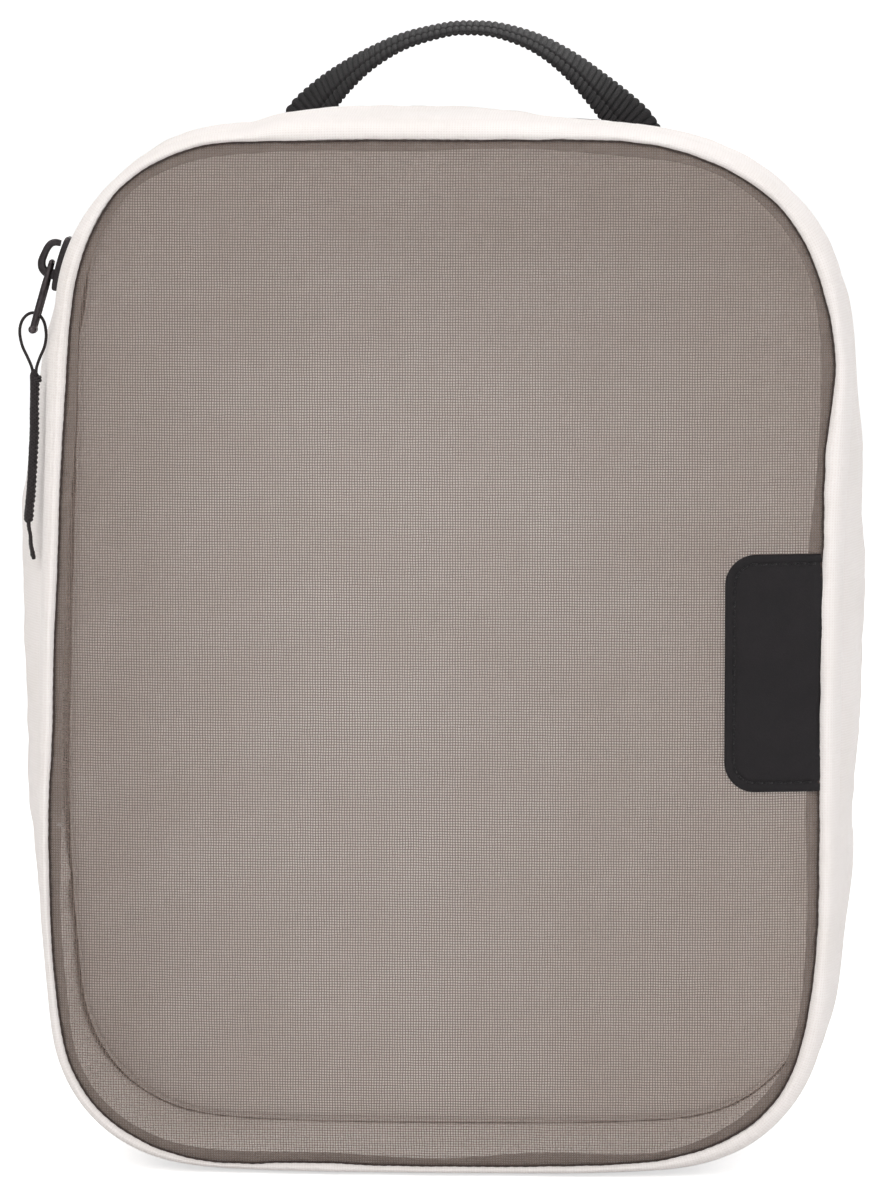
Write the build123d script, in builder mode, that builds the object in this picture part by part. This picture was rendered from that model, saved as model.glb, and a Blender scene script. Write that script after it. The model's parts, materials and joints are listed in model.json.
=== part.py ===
from build123d import *
import math
import os

# Packing cube: a soft zipped case with a mesh window in its front lid, standing upright.
# Frame: millimetres, +Z up (carry handle on top), lid faces -Y, +X to the right as the lid is seen.
# Origin: on the ground, midway across the width and midway through the depth.

os.makedirs("parts", exist_ok=True)

# ---------------------------------------------------------------- driving dimensions
HALF_W = 128.5  # half width of the case at its front and back rims
TOP = 345.0  # height of the rims
CORNER_R = 62.0  # corner radius of the rims
SIDE_R = 4000.0  # gentle outward bow of the two long sides
TOP_R = 4000.0  # gentle upward bow of the top

SWELL_W = 11.5  # how far the filled side wall bulges sideways beyond the rims
SWELL_TOP = 5.0  # and upwards; the ground side stays flat
SWELL_R = 9.0  # corner radius added at full bulge

Y_BACK = 45.0  # outer face of the back panel
Y_FRONT = -45.2  # outer face of the front border
Y_ZIP = -34.0  # plane in which the two zip coils meet

CLOTH = 1.2  # padded shell fabric
FIT = 0.05  # gap kept between neighbouring pieces
LIP = 1.6  # fabric lips stop this far from the zip plane
ROLL_R = 5.0  # rounding of the front edge

COIL = 2.0  # zip coil section
COIL_OFF = 0.7  # coil side face to zip plane
COIL_IN = 1.4  # coil, measured in from the rim outline
TAPE_IN = 2.8  # tape edge to zip plane
TAPE_T = 0.6
CASE_TAPE_REACH = 13.0  # zip plane to the back edge of the case tape
LID_TAPE_W = 3.3

WINDOW = 6.5  # window opening, measured in from the rim outline
HINGE_IN = 2.5  # hinge line, measured in from the rim outline
GAP_LOW = 58.0  # the lid is joined to the case between these heights on the left
GAP_HIGH = 309.5
GAP_LEN = GAP_HIGH - GAP_LOW
GAP_MID = (GAP_LOW + GAP_HIGH) / 2
ZIP_END = 287.0  # closed end of the case side coil
ZIP_GAP_LEN = ZIP_END - GAP_LOW
ZIP_GAP_MID = (GAP_LOW + ZIP_END) / 2

# boxes that pick out the left side of the outline: centre in X, width
HINGE_BOX_X, HINGE_BOX_W = -90.0, 100.0
CUT_X, CASE_CUT_W, LID_CUT_W = -120.0, 60.0, 70.0

SLIDER_ANGLE = 16.0  # degrees up the corner arc, zip closed
TRAVEL = 60.0  # degrees the slider can run round the corner
PLATE_HALF = 4.6  # half width of the slider's plates
PLATE_GAP = 0.15  # free space beside the plates
OUTER_PLATE_HALF = 8.4  # degrees of arc, half length of the outer plate
CHANNEL_MARGIN = 1.0  # degrees of channel beyond the outer plate


# ---------------------------------------------------------------- outline of the case
def top_corner(half_width, top, radius):
    """Centre of the upper left corner circle, which touches the left arc and the top arc."""
    side_x, side_z = SIDE_R - half_width, top / 2
    top_z = top - TOP_R
    x, z = -(half_width - radius), top - radius
    for _ in range(60):
        side_miss = math.hypot(x - side_x, z - side_z) - (SIDE_R - radius)
        top_miss = math.hypot(x, z - top_z) - (TOP_R - radius)
        x += side_miss
        z -= top_miss
    return x, z


def along_ray(start, through, distance):
    """Point at a distance from start, on the ray that runs through another point."""
    run_x, run_z = through[0] - start[0], through[1] - start[1]
    scale = distance / math.hypot(run_x, run_z)
    return (start[0] + run_x * scale, start[1] + run_z * scale)


def mirrored(point):
    return (-point[0], point[1])


def outline(inset=0.0, swell=0.0):
    """Filled rounded outline in its own plane; with no inset its flat bottom is at z = 0."""
    half_width = HALF_W + SWELL_W * swell
    top = TOP + SWELL_TOP * swell
    radius = CORNER_R + SWELL_R * swell
    mid = top / 2
    side_centre = (SIDE_R - half_width, mid)
    top_centre = (0, top - TOP_R)
    upper = top_corner(half_width, top, radius)
    # the lower left corner circle touches the left arc and the ground line
    lower_x = side_centre[0] - math.sqrt((SIDE_R - radius) ** 2 - (radius - mid) ** 2)
    lower = (lower_x, radius)

    diagonal = (radius - inset) / math.sqrt(2)
    side_low = along_ray(side_centre, lower, SIDE_R - inset)
    side_mid = (-(half_width - inset), mid)
    side_top = along_ray(side_centre, upper, SIDE_R - inset)
    corner_top = (upper[0] - diagonal, upper[1] + diagonal)
    top_left = along_ray(top_centre, upper, TOP_R - inset)
    top_mid = (0.0, top - inset)
    corner_low = (lower[0] - diagonal, lower[1] - diagonal)
    bottom = (lower[0], inset)

    with BuildSketch() as face:
        with BuildLine():
            ThreePointArc(side_low, side_mid, side_top)
            ThreePointArc(side_top, corner_top, top_left)
            ThreePointArc(top_left, top_mid, mirrored(top_left))
            ThreePointArc(mirrored(top_left), mirrored(corner_top), mirrored(side_top))
            ThreePointArc(mirrored(side_top), mirrored(side_mid), mirrored(side_low))
            ThreePointArc(mirrored(side_low), mirrored(corner_low), mirrored(bottom))
            Line(mirrored(bottom), bottom)
            ThreePointArc(bottom, corner_low, side_low)
        make_face()
    return face.sketch


def front(y):
    """Drawing plane at depth y: its x is +X, its y is +Z and extrusions run towards -Y."""
    return Plane.XZ.offset(-y)


def ring_sector(place, r_in, r_out, low, high):
    """Ring sector between two radii and two angles; place(radius, angle) gives a point."""
    mid = (low + high) / 2
    with BuildSketch() as face:
        with BuildLine():
            ThreePointArc(place(r_out, low), place(r_out, mid), place(r_out, high))
            Line(place(r_out, high), place(r_in, high))
            ThreePointArc(place(r_in, high), place(r_in, mid), place(r_in, low))
            Line(place(r_in, low), place(r_out, low))
        make_face()
    return face.sketch


CORNER_C = top_corner(HALF_W, TOP, CORNER_R)


def corner_point(radius, angle):
    """Point in X and Z about the upper left corner centre; the angle rises from -X."""
    return (CORNER_C[0] - radius * math.cos(angle), CORNER_C[1] + radius * math.sin(angle))


RIM = outline(0.0)
RIM_IN = outline(CLOTH)
HINGE_LINE = outline(HINGE_IN)
HINGE_LINE_LID = outline(HINGE_IN + FIT)
OPENING = outline(WINDOW)
TAPE_OUT = outline(CLOTH + FIT)
TAPE_INN = outline(CLOTH + FIT + TAPE_T)
COIL_OUT = outline(COIL_IN)
COIL_INN = outline(COIL_IN + COIL)

# the fabric is set back here, over the upper left corner, for the slider's outer plate
CHANNEL = ring_sector(
    corner_point,
    CORNER_R - CLOTH - 0.02,
    CORNER_R + 1.0,
    math.radians(SLIDER_ANGLE - OUTER_PLATE_HALF - CHANNEL_MARGIN),
    math.radians(SLIDER_ANGLE + TRAVEL + OUTER_PLATE_HALF + CHANNEL_MARGIN),
)

# ---------------------------------------------------------------- handle placing
HANDLE_X = 7.0
HANDLE_Y = 43.5  # the handle is caught in the upper back seam
HANDLE_Z = 349.3  # fold axis of the handle
HANDLE_SPAN = 56.0  # half distance between the handle roots

# dense rows of stitches through the back panel, sunk flush into the cloth
BARTACK_W, BARTACK_H, BARTACK_R, BARTACK_T = 1.8, 5.0, 0.6, 0.3
BARTACKS = [
    (HANDLE_X + side * HANDLE_SPAN + step, TOP - 6.0) for side in (-1, 1) for step in (-7.0, 7.0)
]

# ---------------------------------------------------------------- case: back panel
with BuildPart() as back_panel:
    with BuildSketch(front(Y_BACK)):
        add(RIM)
    extrude(amount=CLOTH)
    with BuildSketch(front(Y_BACK)):
        with Locations(*BARTACKS):
            RectangleRounded(BARTACK_W + 2 * FIT, BARTACK_H + 2 * FIT, BARTACK_R + FIT)
    extrude(amount=BARTACK_T + FIT, mode=Mode.SUBTRACT)

# ---------------------------------------------------------------- case: bulging side wall
# depth y, share of the full swell
WALL_STATIONS = (
    (Y_BACK - CLOTH - FIT, 0.0),
    (30.0, 0.7),
    (8.0, 1.0),
    (-14.0, 0.75),
    (-24.0, 0.0),
    (Y_ZIP + LIP, 0.0),
)
# the inner loft runs past both ends of the wall
END_PASS = 1.0
(back_y, back_swell), *mid_stations, (front_y, front_swell) = WALL_STATIONS
INNER_STATIONS = (
    (back_y + END_PASS, back_swell),
    *mid_stations,
    (front_y - END_PASS, front_swell),
)

with BuildPart() as side_wall:
    for y, swell in WALL_STATIONS:
        with BuildSketch(front(y)):
            add(outline(0.0, swell))
    loft(ruled=True)
    for y, swell in INNER_STATIONS:
        with BuildSketch(front(y)):
            add(outline(CLOTH, swell))
    loft(ruled=True, mode=Mode.SUBTRACT)
    with BuildSketch(front(Y_ZIP + PLATE_HALF + PLATE_GAP)):
        add(CHANNEL)
    extrude(amount=PLATE_HALF, mode=Mode.SUBTRACT)

# ---------------------------------------------------------------- case: inside back seam binding
SEAM_BINDING_W = 5.0  # its inner edge, measured in from the cloth
SEAM_BINDING_T = 0.8

with BuildPart() as back_seam_binding:
    with BuildSketch(front(Y_BACK - CLOTH - 2 * FIT)):
        add(outline(CLOTH + 0.15))
        add(outline(CLOTH + SEAM_BINDING_W), mode=Mode.SUBTRACT)
    extrude(amount=SEAM_BINDING_T)

# ---------------------------------------------------------------- case: left strip, lid hinge
STRIP_BACK = Y_ZIP + LIP - FIT
STRIP_FRONT = -43.0
FOLD_BACK = -42.5  # back face of the fold
FOLD_T = 1.7
FOLD_OUT = 0.6  # outer edge of the fold, measured in from the rim outline
SLIT_LOW = ZIP_END - 3.0
SLIT_HIGH = 330.0

with BuildPart() as hinge_strip:
    with BuildSketch(front(STRIP_BACK)):
        add(RIM)
        add(RIM_IN, mode=Mode.SUBTRACT)
        with Locations((HINGE_BOX_X, GAP_MID)):
            Rectangle(HINGE_BOX_W, GAP_LEN - 2 * FIT, mode=Mode.INTERSECT)
    extrude(amount=STRIP_BACK - STRIP_FRONT)
    # narrow fold at the front, up to the line the lid turns on
    with BuildSketch(front(FOLD_BACK)):
        add(outline(FOLD_OUT))
        add(HINGE_LINE, mode=Mode.SUBTRACT)
        with Locations((HINGE_BOX_X, GAP_MID)):
            Rectangle(HINGE_BOX_W, GAP_LEN - 2 * FIT, mode=Mode.INTERSECT)
    extrude(amount=FOLD_T)
    # slit for the closed slider's post
    with BuildSketch(front(Y_ZIP + LIP)):
        with Locations((CUT_X, (SLIT_LOW + SLIT_HIGH) / 2)):
            Rectangle(CASE_CUT_W, SLIT_HIGH - SLIT_LOW)
    extrude(amount=2 * LIP, mode=Mode.SUBTRACT)
    with BuildSketch(front(Y_ZIP + PLATE_HALF + PLATE_GAP)):
        add(CHANNEL)
    extrude(amount=2 * (PLATE_HALF + PLATE_GAP), mode=Mode.SUBTRACT)


# ---------------------------------------------------------------- case and lid: zip tapes and coils
def zip_run(y_back, depth, outer, inner, gap_mid, gap_size):
    """Band between two outlines, running forward from y_back, open on the left."""
    with BuildPart() as run:
        with BuildSketch(front(y_back)):
            add(outer)
            add(inner, mode=Mode.SUBTRACT)
            with Locations((CUT_X, gap_mid)):
                Rectangle(*gap_size, mode=Mode.SUBTRACT)
        extrude(amount=depth)
    return run


case_zip_tape = zip_run(
    Y_ZIP + CASE_TAPE_REACH,
    CASE_TAPE_REACH - TAPE_IN,
    TAPE_OUT,
    TAPE_INN,
    ZIP_GAP_MID,
    (CASE_CUT_W, ZIP_GAP_LEN + 4.0),
)
case_zip_coil = zip_run(
    Y_ZIP + COIL_OFF + COIL, COIL, COIL_OUT, COIL_INN, ZIP_GAP_MID, (CASE_CUT_W, ZIP_GAP_LEN)
)
lid_zip_tape = zip_run(
    Y_ZIP - TAPE_IN, LID_TAPE_W, TAPE_OUT, TAPE_INN, GAP_MID, (LID_CUT_W, GAP_LEN)
)
lid_zip_coil = zip_run(
    Y_ZIP - COIL_OFF, COIL, COIL_OUT, COIL_INN, GAP_MID, (LID_CUT_W, GAP_LEN)
)

# ---------------------------------------------------------------- case: zip end stops
STOP_H = 2.6
STOP_IN = 1.5  # stop centre, measured into the gap of the case coil
STOP_BOX_X, STOP_BOX_W = -110.0, 80.0

with BuildPart() as zip_end_stops:
    with BuildSketch(front(Y_ZIP + COIL_OFF + COIL)):
        add(outline(COIL_IN + FIT))
        add(outline(COIL_IN + COIL - FIT), mode=Mode.SUBTRACT)
        with Locations((STOP_BOX_X, ZIP_END - STOP_IN), (STOP_BOX_X, GAP_LOW + STOP_IN)):
            Rectangle(STOP_BOX_W, STOP_H, mode=Mode.INTERSECT)
    extrude(amount=2 * (COIL_OFF + COIL))

# ---------------------------------------------------------------- lid: border rolled back to the zip
LID_BACK = Y_ZIP - LIP
CORE_PASS = 1.0  # the core runs this far past the back of the border
CUT_DEPTH = 20.0  # through the whole lid

# space inside the lid's rolled border
with BuildPart() as lid_core:
    with BuildSketch(front(LID_BACK + CORE_PASS)):
        add(RIM_IN)
    extrude(amount=(LID_BACK + CORE_PASS) - (Y_FRONT + CLOTH))
    fillet(lid_core.edges().group_by(Axis.Y)[0], ROLL_R - CLOTH)

with BuildPart() as lid_border:
    with BuildSketch(front(LID_BACK)):
        add(RIM)
    extrude(amount=LID_BACK - Y_FRONT)
    fillet(lid_border.edges().group_by(Axis.Y)[0], ROLL_R)
    add(lid_core.part, mode=Mode.SUBTRACT)
    with BuildSketch(front(Y_ZIP)):
        add(OPENING)
    extrude(amount=CUT_DEPTH, mode=Mode.SUBTRACT)
    # along the hinge the border stops at the hinge line
    with BuildSketch(front(Y_ZIP)):
        add(outline(-2.0))
        add(HINGE_LINE_LID, mode=Mode.SUBTRACT)
        with Locations((HINGE_BOX_X, GAP_MID)):
            Rectangle(HINGE_BOX_W, GAP_LEN, mode=Mode.INTERSECT)
    extrude(amount=CUT_DEPTH, mode=Mode.SUBTRACT)
    with BuildSketch(front(Y_ZIP + 1.0)):
        add(CHANNEL)
    extrude(amount=PLATE_HALF + PLATE_GAP + 1.0, mode=Mode.SUBTRACT)

# ---------------------------------------------------------------- lid: mesh window and its edge
MESH_T = 0.6
MESH_BACK = Y_FRONT + CLOTH + FIT + MESH_T
EDGE_BACK = MESH_BACK + FIT + MESH_T  # the edge binding is as thick as the mesh
CORD_BAND_W = 0.6
CORD_BAND_T = 0.5

with BuildPart() as mesh_window:
    with BuildSketch(front(MESH_BACK)):
        add(outline(4.6))
    extrude(amount=MESH_T)

with BuildPart() as mesh_edge_binding:
    with BuildSketch(front(EDGE_BACK)):
        add(outline(4.8))
        add(outline(10.5), mode=Mode.SUBTRACT)
    extrude(amount=MESH_T)

with BuildPart() as window_seam_cord:
    with BuildSketch(front(Y_FRONT - FIT)):
        add(outline(WINDOW - CORD_BAND_W))
        add(outline(WINDOW), mode=Mode.SUBTRACT)
    extrude(amount=CORD_BAND_T)

# ---------------------------------------------------------------- lid: leather patch, right edge
PATCH_L, PATCH_R, PATCH_LOW, PATCH_TOP = 91.0, 121.6, 129.0, 206.0
PATCH_W, PATCH_H = PATCH_R - PATCH_L, PATCH_TOP - PATCH_LOW
PATCH_X, PATCH_Z = (PATCH_L + PATCH_R) / 2, (PATCH_LOW + PATCH_TOP) / 2
PATCH_T = 1.2
PATCH_CORNER_R = 9.0
STITCH_IN = 3.0  # stitch line, measured in from the patch edge
STITCH_W = 0.6
STITCH_T = 0.4
STITCH_R = 6.0

with BuildPart() as leather_patch:
    with BuildSketch(front(Y_FRONT + CLOTH)):
        with Locations((PATCH_X, PATCH_Z)):
            Rectangle(PATCH_W, PATCH_H)
    extrude(amount=PATCH_T)
    fillet(leather_patch.edges().filter_by(Axis.Y).group_by(Axis.X)[0], PATCH_CORNER_R)

with BuildPart() as patch_stitching:
    with BuildSketch(front(Y_FRONT - FIT)):
        with Locations((PATCH_X + STITCH_IN / 2, PATCH_Z)):
            RectangleRounded(PATCH_W - STITCH_IN, PATCH_H - 2 * STITCH_IN, STITCH_R)
            RectangleRounded(
                PATCH_W - STITCH_IN - 2 * STITCH_W,
                PATCH_H - 2 * (STITCH_IN + STITCH_W),
                STITCH_R - STITCH_W,
                mode=Mode.SUBTRACT,
            )
        # the stitch line is open at the patch's right edge
        with Locations((PATCH_R, PATCH_Z)):
            Rectangle(8.0, 100.0, mode=Mode.SUBTRACT)
    extrude(amount=STITCH_T)

# ---------------------------------------------------------------- zip slider
SLIDER_RAD = math.radians(SLIDER_ANGLE)
OUT = (-math.cos(SLIDER_RAD), 0.0, math.sin(SLIDER_RAD))  # outward from the corner
UP = (math.sin(SLIDER_RAD), 0.0, math.cos(SLIDER_RAD))  # along the zip, towards the top
DOWN = (-UP[0], 0.0, -UP[2])
SLIDER_O = corner_point(CORNER_R, SLIDER_RAD)  # X and Z of the rim outline under the slider

POST_UP = 5.0  # post centre along the zip
POST_T = 1.0
BRIDGE_T = 2.8
# closed outline of the bridge: outward, along the zip
BRIDGE = (
    (-0.3, -5.6), (2.2, -6.2), (5.4, -3.4), (6.8, 1.6), (6.2, 6.0),
    (4.2, 8.0), (0.8, 7.9), (0.8, 6.2), (3.4, 5.9), (4.5, 4.3),
    (4.5, 0.9), (3.5, -1.0), (2.2, -1.9), (-0.3, -1.7), (-0.3, -5.6),
)


def local(outward, along):
    """X and Z of a point given outward and along the zip from the slider's origin."""
    return (
        SLIDER_O[0] + OUT[0] * outward + UP[0] * along,
        SLIDER_O[1] + OUT[2] * outward + UP[2] * along,
    )


def zip_plane(point, x_dir, offset):
    """Plane facing +Y, offset in Y from the zip plane, with its origin at an X and Z point."""
    return Plane(origin=(point[0], Y_ZIP + offset, point[1]), x_dir=x_dir, z_dir=(0, 1, 0))


def plate(r_in, r_out, half_deg):
    """Curved plate about the corner centre, drawn outward and along the zip."""

    def place(radius, angle):
        return (radius * math.cos(angle) - CORNER_R, radius * math.sin(angle))

    half = math.radians(half_deg)
    return ring_sector(place, r_in, r_out, -half, half)


OUTER_PLATE = plate(CORNER_R - 1.1, CORNER_R + 0.3, OUTER_PLATE_HALF)
INNER_PLATE = plate(CORNER_R - 5.0, CORNER_R - 3.9, 8.0)

with BuildPart() as zip_slider:
    with BuildSketch(zip_plane(SLIDER_O, OUT, -PLATE_HALF)):
        add(OUTER_PLATE)
        add(INNER_PLATE)
    extrude(amount=2 * PLATE_HALF)
    # the plates' short end edges, across their thickness
    fillet(
        zip_slider.edges().filter_by(lambda e: e.length < 1.7 and abs(e.tangent_at(0.5).Y) < 0.1),
        1.8,
    )
    # post that joins the plates
    with BuildSketch(zip_plane(local(0.0, POST_UP), OUT, -POST_T / 2)):
        with Locations((-2.4, 0.0)):
            Rectangle(4.0, 3.0)
    extrude(amount=POST_T)
    # hooked bridge for the pull, rooted at the lower end and open at the top
    with BuildSketch(zip_plane(SLIDER_O, OUT, -BRIDGE_T / 2)):
        with BuildLine():
            Polyline(*BRIDGE)
        make_face()
    extrude(amount=BRIDGE_T)

# ---------------------------------------------------------------- pull link: a long wire ring
LINK_TOP = local(1.45, -0.3)  # the link's upper bar, which sits in the bridge
LINK_LEN = 23.0
LINK_HALF = 2.55
WIRE = 0.75  # half thickness of the wire
LOW_BAR_R = 1.25
LOW_BAR = (LINK_TOP[0] + DOWN[0] * LINK_LEN, LINK_TOP[1] + DOWN[2] * LINK_LEN)
# x of this plane runs down the link, y runs along the upper bar
LINK_PLANE = Plane(
    origin=(LINK_TOP[0], Y_ZIP, LINK_TOP[1]), x_dir=DOWN, z_dir=(-OUT[0], 0.0, -OUT[2])
)

with BuildPart() as pull_link:
    with BuildSketch(LINK_PLANE.offset(-WIRE)):
        with Locations((LINK_LEN / 2, 0.0)):
            RectangleRounded(LINK_LEN + 2 * WIRE, 2 * (LINK_HALF + WIRE), 1.6)
            RectangleRounded(
                LINK_LEN - 2 * WIRE, 2 * (LINK_HALF - WIRE), 0.3, mode=Mode.SUBTRACT
            )
    extrude(amount=2 * WIRE)
    fillet(pull_link.edges().filter_by(GeomType.LINE).filter_by(lambda e: e.length > 4.0), 0.5)
    with BuildSketch(zip_plane(LOW_BAR, DOWN, -LINK_HALF - WIRE)):
        Circle(LOW_BAR_R)
    extrude(amount=2 * (LINK_HALF + WIRE))

# ---------------------------------------------------------------- cord: loop, grip, loose tails
CORD_R = 0.7
CORD_TILT = math.radians(2.0)
CORD_DOWN = (-math.sin(CORD_TILT), 0.0, -math.cos(CORD_TILT))
GRIP_TOP, GRIP_LOW = 13.0, 63.5  # distances down the cord from the link's lower bar
GRIP_W = 3.4
TAIL_START = GRIP_LOW + 0.1
TAIL_Y = 0.85  # tail centre to zip plane
LOOP_END = GRIP_TOP - 0.1
# one side of the loop's outer and inner edges: down the cord, sideways
LOOP_OUTER = ((-5.6, 0.0), (0.0, 4.2), (6.5, 3.9), (LOOP_END, 0.9))
LOOP_INNER = ((-4.2, 0.0), (0.0, 2.8), (6.0, 2.5), (GRIP_TOP - 2.6, 0.0))


def other_side(points):
    """The same edge on the other side of the cord, run backwards."""
    return [(down, -sideways) for down, sideways in reversed(points)]


with BuildPart() as cord_loop:
    with BuildSketch(zip_plane(LOW_BAR, CORD_DOWN, -CORD_R)):
        with BuildLine():
            Spline(*LOOP_OUTER)
            Line((LOOP_END, 0.9), (LOOP_END, -0.9))
            Spline(*other_side(LOOP_OUTER))
        make_face()
        with BuildLine():
            Spline(*LOOP_INNER)
            Spline(*other_side(LOOP_INNER))
        make_face(mode=Mode.SUBTRACT)
    extrude(amount=2 * CORD_R)

with BuildPart() as cord_grip:
    with BuildSketch(zip_plane(LOW_BAR, CORD_DOWN, -GRIP_W / 2)):
        with Locations(((GRIP_TOP + GRIP_LOW) / 2, 0.0)):
            RectangleRounded(GRIP_LOW - GRIP_TOP, GRIP_W, 1.2)
    extrude(amount=GRIP_W)
    fillet(cord_grip.edges().filter_by(lambda e: e.length > 30.0), 0.9)

with BuildPart() as cord_tails:
    for side in (-1, 1):
        tail_top = (
            LOW_BAR[0] + CORD_DOWN[0] * TAIL_START,
            Y_ZIP + side * TAIL_Y,
            LOW_BAR[1] + CORD_DOWN[2] * TAIL_START,
        )
        with BuildSketch(Plane(origin=tail_top, z_dir=CORD_DOWN)):
            Circle(CORD_R)
        extrude(amount=10.5 + side * 0.8)

# ---------------------------------------------------------------- handle and its sewn ends
HANDLE_RISE = 25.4  # fold axis to the top of the arch
WEB_T = 2.4
ROOT_Z = HANDLE_Z - 1.0
ROOT_OUT = HANDLE_SPAN + 5.0  # outer and inner edges of the roots, from the handle's middle
ROOT_IN = HANDLE_SPAN - 2.0
ANCHOR_Z = TOP + 0.6
# side view of the handle, thin at the roots and wide at the top: y, z
HANDLE_SIDE = (
    (HANDLE_Y - 1.2, HANDLE_Z - 1.3),
    (HANDLE_Y + 1.2, HANDLE_Z - 1.3),
    (HANDLE_Y + 6.8, HANDLE_Z + 30.0),
    (HANDLE_Y - 6.8, HANDLE_Z + 30.0),
)

with BuildPart() as carry_handle:
    with BuildSketch(front(HANDLE_Y + 10.0)):
        with BuildLine():
            outer = ThreePointArc(
                (HANDLE_X - ROOT_OUT, ROOT_Z),
                (HANDLE_X, HANDLE_Z + HANDLE_RISE),
                (HANDLE_X + ROOT_OUT, ROOT_Z),
            )
            Line(outer @ 1, (HANDLE_X + ROOT_IN, ROOT_Z))
            inner = ThreePointArc(
                (HANDLE_X + ROOT_IN, ROOT_Z),
                (HANDLE_X, HANDLE_Z + HANDLE_RISE - WEB_T),
                (HANDLE_X - ROOT_IN, ROOT_Z),
            )
            Line(inner @ 1, outer @ 0)
        make_face()
    extrude(amount=20.0)
    with BuildSketch(Plane.YZ.offset(-80.0)):
        with BuildLine():
            Polyline(*HANDLE_SIDE, close=True)
        make_face()
    extrude(amount=180.0, mode=Mode.INTERSECT)

with BuildPart() as handle_anchors:
    with BuildSketch(Plane.XY.offset(ANCHOR_Z)):
        with Locations((HANDLE_X - HANDLE_SPAN, HANDLE_Y), (HANDLE_X + HANDLE_SPAN, HANDLE_Y)):
            RectangleRounded(20.0, 1.8, 0.6)
    extrude(amount=2.0)

with BuildPart() as anchor_bartacks:
    with BuildSketch(front(Y_BACK)):
        with Locations(*BARTACKS):
            RectangleRounded(BARTACK_W, BARTACK_H, BARTACK_R)
    extrude(amount=BARTACK_T)

# ---------------------------------------------------------------- labels and files
PIECES = {
    "back_panel": back_panel,
    "side_wall": side_wall,
    "back_seam_binding": back_seam_binding,
    "hinge_strip": hinge_strip,
    "case_zip_tape": case_zip_tape,
    "case_zip_coil": case_zip_coil,
    "zip_end_stops": zip_end_stops,
    "lid_border": lid_border,
    "mesh_window": mesh_window,
    "mesh_edge_binding": mesh_edge_binding,
    "window_seam_cord": window_seam_cord,
    "lid_zip_tape": lid_zip_tape,
    "lid_zip_coil": lid_zip_coil,
    "leather_patch": leather_patch,
    "patch_stitching": patch_stitching,
    "zip_slider": zip_slider,
    "pull_link": pull_link,
    "cord_loop": cord_loop,
    "cord_grip": cord_grip,
    "cord_tails": cord_tails,
    "carry_handle": carry_handle,
    "handle_anchors": handle_anchors,
    "anchor_bartacks": anchor_bartacks,
}
for name, piece in PIECES.items():
    piece.part.label = name
    export_step(piece.part, f"parts/{name}.step")
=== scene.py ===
"""Soft zipped case of padded knit fabric with a net window in its lid.

The case stands on the ground with its broad faces upright: the lid faces -Y, the back panel
+Y, and Z is up. Left and right are as seen from the front, so left is -X. The lid is joined to
the case down the left side. The slider sits at the upper left corner, with its link and cord
hanging from it, and a webbing handle arches over the top at the back.
Lengths are millimetres until a mesh is written.
"""

import json
import math

import bmesh
import bpy
import numpy as np
from mathutils.kdtree import KDTree
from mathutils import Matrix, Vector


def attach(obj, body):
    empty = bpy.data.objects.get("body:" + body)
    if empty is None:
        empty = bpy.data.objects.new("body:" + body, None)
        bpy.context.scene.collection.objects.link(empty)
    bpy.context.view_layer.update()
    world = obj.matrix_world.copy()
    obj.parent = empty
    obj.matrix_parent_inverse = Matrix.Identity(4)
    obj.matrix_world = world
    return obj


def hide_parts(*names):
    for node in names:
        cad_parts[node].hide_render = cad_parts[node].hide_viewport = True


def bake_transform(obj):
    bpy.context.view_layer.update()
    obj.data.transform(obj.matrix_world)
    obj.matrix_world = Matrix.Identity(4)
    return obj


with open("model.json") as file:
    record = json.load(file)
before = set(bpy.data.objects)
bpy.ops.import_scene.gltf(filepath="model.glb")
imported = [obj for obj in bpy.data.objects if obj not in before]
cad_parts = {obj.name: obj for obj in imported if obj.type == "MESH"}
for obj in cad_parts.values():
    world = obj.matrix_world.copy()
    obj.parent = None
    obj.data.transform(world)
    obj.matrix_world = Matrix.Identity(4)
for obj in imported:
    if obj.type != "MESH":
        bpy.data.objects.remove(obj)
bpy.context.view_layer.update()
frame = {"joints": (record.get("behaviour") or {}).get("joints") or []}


MM = 0.001
TAU = 2 * math.pi
X_AXIS = np.array([1.0, 0.0, 0.0])
Y_AXIS = np.array([0.0, 1.0, 0.0])
JOINT_AT = {joint["name"]: np.array(joint["pos_m"]) * 1000 for joint in frame["joints"]}
scene = bpy.context.scene


# =============================================================================
# lines and waves
# =============================================================================
def unit(vectors):
    return vectors / np.linalg.norm(vectors, axis=-1, keepdims=True)


def square_to(vector, axis):
    """Unit vector nearest to vector at right angles to axis."""
    return unit(vector - (vector @ axis) * axis)


def run_length(points):
    """Distance along a line at each of its points."""
    return np.r_[0, np.cumsum(np.linalg.norm(np.diff(points, axis=0), axis=1))]


def sample(at, run, points):
    """Points of a line at given distances along it."""
    return np.stack([np.interp(at, run, column) for column in points.T], -1)


def catmull(points, steps, closed=False):
    """Catmull-Rom curve through the rows of points, with steps points per span."""
    points = np.asarray(points, float)
    if closed:
        padded = np.vstack([points[-1], points, points[0], points[1]])
    else:
        padded = np.vstack([2 * points[0] - points[1], points, 2 * points[-1] - points[-2]])
    t = (np.arange(steps) / steps)[:, None]
    out = []
    for i in range(len(padded) - 3):
        before, start, end, after = padded[i : i + 4]
        square = 2 * before - 5 * start + 4 * end - after
        cube = 3 * start - before - 3 * end + after
        out.append(0.5 * (2 * start + (end - before) * t + square * t**2 + cube * t**3))
    out = np.vstack(out)
    return out if closed else np.vstack([out, points[-1]])


def resample(points, count, closed=False):
    line = np.vstack([points, points[:1]]) if closed else points
    run = run_length(line)
    return sample(np.linspace(0, run[-1], count, endpoint=not closed), run, line)


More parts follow.
